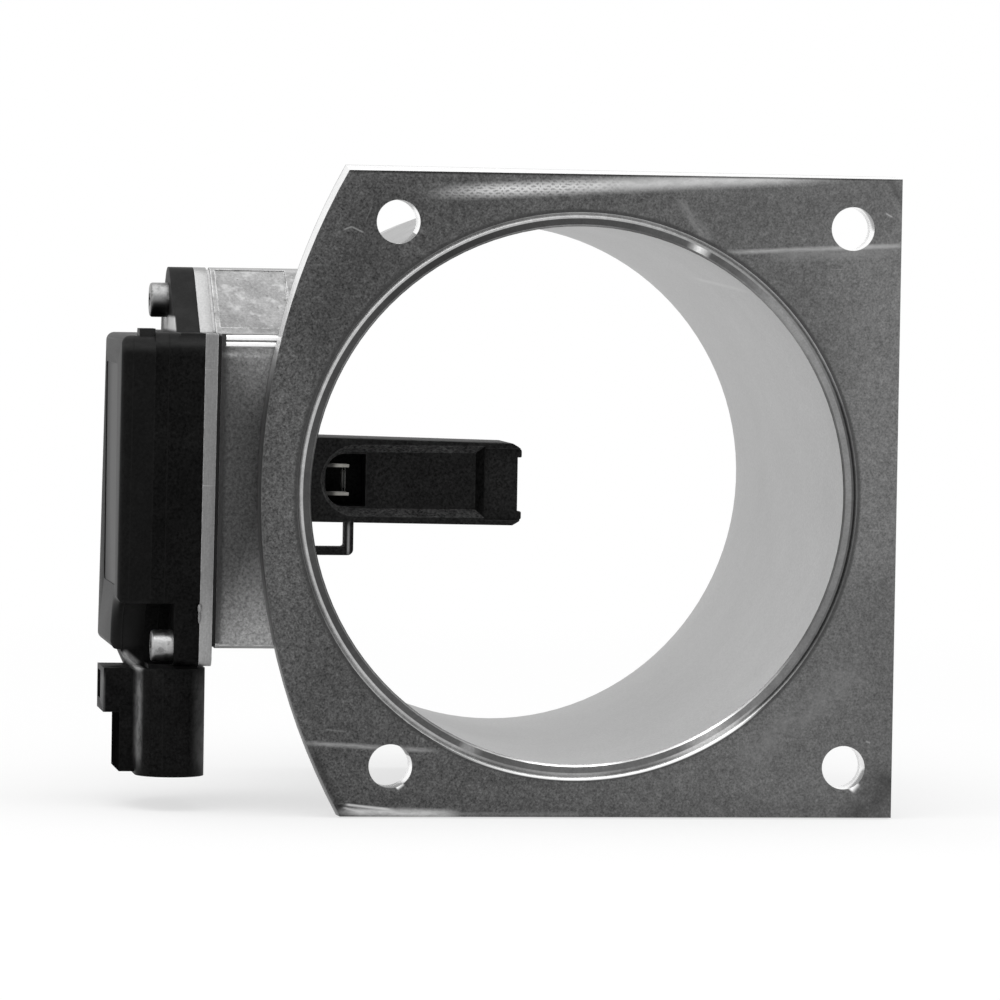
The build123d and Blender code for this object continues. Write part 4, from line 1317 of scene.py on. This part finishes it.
# The thermistor's bead in mm, and its leads
BEAD_RADIUS, BEAD_HALF_LENGTH = 0.54, 0.95
BEAD_LEAD_RADIUS, BEAD_LEAD_ASIDE = 0.12 * MM, 0.25 * MM


def model_element(name, node, bobbin_radius, pitch):
    """A sensing element upright between two posts: bobbin, fine winding and straight tails."""
    low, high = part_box(node)
    x, y, z = (low + high) / 2
    wire = sizes().wire_thickness
    bobbin = add_rod(name + "_bobbin", bobbin_radius, BOBBIN_LENGTH, (x, y, z), 20)
    round_end(bobbin, bobbin_radius * 0.3, 2, lambda centre, normal: abs(normal.z) > 0.9)
    turns = int(BOBBIN_LENGTH * 0.8 / pitch)
    winding = coil(name + "_winding", (x, y, z - turns * pitch / 2), "Z",
                   bobbin_radius + wire * 0.3, wire, pitch, turns, steps=14, sides=5)
    tail = add_rod(name + "_tail", wire * 1.2, high.z - low.z, (x, y, z), 10)
    paint(bobbin, "bobbin")
    paint(winding, "wire")
    paint(tail, "wire")
    piece = join(name, [bobbin, winding, tail])
    smooth(40)
    settle(piece, "element", node)


def model_thermistor():
    """A glass bead that hangs on two straight leads."""
    low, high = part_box("thermistor")
    x, y = (low.x + high.x) / 2, (low.y + high.y) / 2
    foot = low.z + 0.9 * MM
    pieces = [add(bpy.ops.mesh.primitive_uv_sphere_add, "glass_thermistor_bead", segments=28,
                  ring_count=18, radius=1.0 * MM, location=(x, y, low.z + BEAD_HALF_LENGTH * MM),
                  scale=(BEAD_RADIUS, BEAD_RADIUS, BEAD_HALF_LENGTH))]
    paint(pieces[0], "bead")
    for side in (-1, 1):
        lead = add_rod("glass_thermistor_lead", BEAD_LEAD_RADIUS, high.z - foot,
                       (x, y + side * BEAD_LEAD_ASIDE, (high.z + foot) / 2), 14)
        round_end(lead, 0.05 * MM, 2, lambda centre, normal: normal.z < -0.9)
        paint(lead, "post")
        pieces.append(lead)
    piece = join("glass_thermistor", pieces)
    smooth(40)
    settle(piece, "bead", "thermistor")


class SENSOR_OT_elements(bpy.types.Operator):
    """Model the hot wire, the compensation element, the thermistor and their posts"""
    bl_idname = "sensor.elements"
    bl_label = "Sensing Elements"

    def execute(self, context):
        for number in range(1, 5):
            node = "sensor_post_%d" % number
            dress(copy_of(node, "support_post_%d" % number), node, "post", 0.06 * MM, ["post"])
        model_element("wound_hot_wire", "hot_wire", 0.1 * MM, 0.08 * MM)
        model_element("wound_compensation_element", "compensation_element", 0.36 * MM, 0.09 * MM)
        model_thermistor()
        return {"FINISHED"}


CAP_PLACE = 0.62 * MM


def model_capacitor(node):
    """A chip capacitor whose two ends, cut off from its middle, are metal caps."""
    def on_cap(mesh, face):
        return 1 if abs(face.center.z - middle) > CAP_PLACE else 0

    low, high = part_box(node)
    middle = (low.z + high.z) / 2
    piece = copy_of(node, node + "_body")
    bpy.ops.object.mode_set(mode="EDIT")
    for side in (-1, 1):
        bpy.ops.mesh.select_all(action="SELECT")
        bpy.ops.mesh.bisect(plane_co=(low.x, low.y, middle + side * CAP_PLACE), plane_no=(0, 0, 1))
    leave_edit()
    dress(piece, node, "capacitor", 0.06 * MM, ["capacitor", "contact"], on_cap)


LEADS_PER_SIDE, LEAD_SPACING, LEAD_WIDTH = 7, 1.1, 0.4 * MM


def model_leads():
    """Bent leads on the chip's four sides, from its body down to the board."""
    low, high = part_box("control_chip")
    thick = sizes().lead_thickness
    centre = (low + high) / 2
    edge = centre.y + (high.y - low.y) / 2
    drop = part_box("circuit_board")[0].x - thick / 2 - centre.x
    leads = []
    for side in range(4):
        for number in range(LEADS_PER_SIDE):
            up = centre.z + (number - LEADS_PER_SIDE // 2) * LEAD_SPACING * MM
            lead = add(bpy.ops.mesh.primitive_cube_add, "chip_lead", size=1.0,
                       location=(centre.x, edge + 0.12 * MM, up), scale=(thick, LEAD_WIDTH, LEAD_WIDTH))
            pick_faces(lead, lambda middle, normal: normal.y > 0.9)
            extrude(drop, 0.25 * MM, 0.0)
            extrude(0.0, 0.35 * MM, 0.0)
            bpy.ops.mesh.select_all(action="SELECT")
            bpy.ops.transform.rotate(value=side * pi / 2, orient_axis="X",
                                     center_override=tuple(centre))
            leave_edit()
            leads.append(lead)
    piece = join("chip_leads", leads)
    paint(piece, "contact")
    smooth(30)
    settle(piece, "contact")


class SENSOR_OT_circuit(bpy.types.Operator):
    """Finish the circuit board and its parts, and model the leads of the control chip"""
    bl_idname = "sensor.circuit"
    bl_label = "Circuit"

    def execute(self, context):
        dress(copy_of("circuit_board", "hybrid_board"), "circuit_board", "board", 0.05 * MM, ["board"])
        for node in ("control_chip", "power_transistor"):
            dress(copy_of(node, node + "_package"), node, "chip", 0.05 * MM, ["chip"])
        for number in range(1, 5):
            model_capacitor("chip_capacitor_%d" % number)
        for number in range(1, 6):
            node = "connector_pin_%d" % number
            dress(copy_of(node, "contact_pin_%d" % number), node, "contact", 0.06 * MM, ["contact"])
        model_leads()
        return {"FINISHED"}


# Stage. The camera's place, direction and lens are fitted to the flange and the bore in the photo
CAMERA_PLACE = (-0.14879, -0.92280, 0.03984)
CAMERA_TURN = (87.51324, -0.92411, -8.40145)
CAMERA_LENS = 227.05
WHITE = (1, 1, 1, 1)


def seen(tree):
    """1 for what the camera sees itself or in gloss and glass, 0 for light on matt surfaces."""
    path = place(tree, "LightPath").outputs
    return calc(tree, "MAXIMUM", path["Is Camera Ray"],
                calc(tree, "MAXIMUM", path["Is Glossy Ray"], path["Is Transmission Ray"]))


def add_lamp(name, watts, spot, width, height):
    """A soft rectangular lamp aimed at the middle of the duct."""
    data = bpy.data.lights.new(name, "AREA")
    data.shape = "RECTANGLE"
    data.size = width
    data.size_y = height
    data.energy = watts
    lamp = bpy.data.objects.new(name, data)
    bpy.context.scene.collection.objects.link(lamp)
    lamp.location = spot
    aim = Vector((0.0, 0.02, 0.0)) - lamp.location
    lamp.rotation_euler = aim.to_track_quat("-Z", "Y").to_euler()


def empty_tree(owner):
    """The node tree of a material or world, with nothing in it."""
    owner.use_nodes = True
    owner.node_tree.nodes.clear()
    return owner.node_tree


class SENSOR_OT_stage(bpy.types.Operator):
    """Build the pale floor, the white surroundings, the soft lamps and the camera"""
    bl_idname = "sensor.stage"
    bl_label = "Stage, Light and Camera"

    def execute(self, context):
        scene = context.scene
        settings = scene.sensor_stage
        floor = add(bpy.ops.mesh.primitive_grid_add, "pale_floor", x_subdivisions=4,
                    y_subdivisions=4, size=24.0, location=(0.0, 0.0, CAD_BOX[0][2]))
        paper = bpy.data.materials.new("pale_floor_paper")
        tree = empty_tree(paper)
        matt = place(tree, "BsdfDiffuse", {"Color": grey(settings.floor)}).outputs[0]
        white = place(tree, "Emission", {"Color": WHITE, "Strength": 1.0}).outputs[0]
        coordinate = place(tree, "TexCoord").outputs["Object"]
        away = place(tree, "VectorMath", {0: coordinate}, operation="LENGTH").outputs["Value"]
        share = Number(tree, away).ease(0.12, 0.5, 0.66, 1.0)
        mixed = place(tree, "MixShader", {0: seen(tree) * share, 1: matt, 2: white})
        place(tree, "OutputMaterial", {"Surface": mixed.outputs[0]})
        floor.data.materials.append(paper)
        scene.world = bpy.data.worlds.new("white_surroundings")
        tree = empty_tree(scene.world)
        strength = place(tree, "MapRange", {"Value": seen(tree), "To Min": settings.ambient, "To Max": 1.0})
        sky = place(tree, "Background", {"Color": WHITE, "Strength": strength.outputs[0]})
        place(tree, "OutputWorld", {"Surface": sky.outputs[0]})
        add_lamp("top_light", settings.top, (-0.1, -0.15, 0.95), 1.3, 1.3)
        add_lamp("left_light", settings.left, (-1.0, -0.3, 0.3), 0.8, 0.8)
        add_lamp("right_light", settings.right, (0.9, -0.7, 0.45), 0.7, 0.9)
        data = bpy.data.cameras.new("photo_view")
        data.lens = CAMERA_LENS
        data.sensor_width = 36.0
        data.clip_end = 40.0
        camera = bpy.data.objects.new("photo_view", data)
        scene.collection.objects.link(camera)
        camera.location = CAMERA_PLACE
        camera.rotation_euler = [radians(angle) for angle in CAMERA_TURN]
        scene.camera = camera
        scene.view_settings.view_transform = "Standard"
        return {"FINISHED"}


class SENSOR_PT_panel(bpy.types.Panel):
    """Sizes, tones and building steps of the sensor"""
    bl_idname = "SENSOR_PT_panel"
    bl_label = "Mass Airflow Sensor"
    bl_space_type = "VIEW_3D"
    bl_region_type = "UI"
    bl_category = "Airflow Sensor"

    def draw(self, context):
        scene = context.scene
        for title, group in (("Sizes", scene.sensor_sizes), ("Tones", scene.sensor_tones),
                             ("Stage", scene.sensor_stage)):
            box = self.layout.box()
            box.label(text=title)
            for name in group.__annotations__:
                box.prop(group, name)
        for step in STEPS:
            self.layout.operator(step.bl_idname)


STEPS = (SENSOR_OT_casting, SENSOR_OT_plate, SENSOR_OT_case, SENSOR_OT_sealant, SENSOR_OT_screws,
         SENSOR_OT_probe, SENSOR_OT_elements, SENSOR_OT_circuit, SENSOR_OT_stage)
CLASSES = (SensorSizes, SensorTones, StageSettings) + STEPS + (SENSOR_PT_panel,)


def register():
    for item in CLASSES:
        bpy.utils.register_class(item)
    bpy.types.Scene.sensor_sizes = bpy.props.PointerProperty(type=SensorSizes)
    bpy.types.Scene.sensor_tones = bpy.props.PointerProperty(type=SensorTones)
    bpy.types.Scene.sensor_stage = bpy.props.PointerProperty(type=StageSettings)


def unregister():
    del bpy.types.Scene.sensor_stage
    del bpy.types.Scene.sensor_tones
    del bpy.types.Scene.sensor_sizes
    for item in reversed(CLASSES):
        bpy.utils.unregister_class(item)


def main():
    """Builds every piece in order."""
    register()
    for step in STEPS:
        group, name = step.bl_idname.split(".")
        getattr(getattr(bpy.ops, group), name)()


if __name__ == "__main__":
    main()
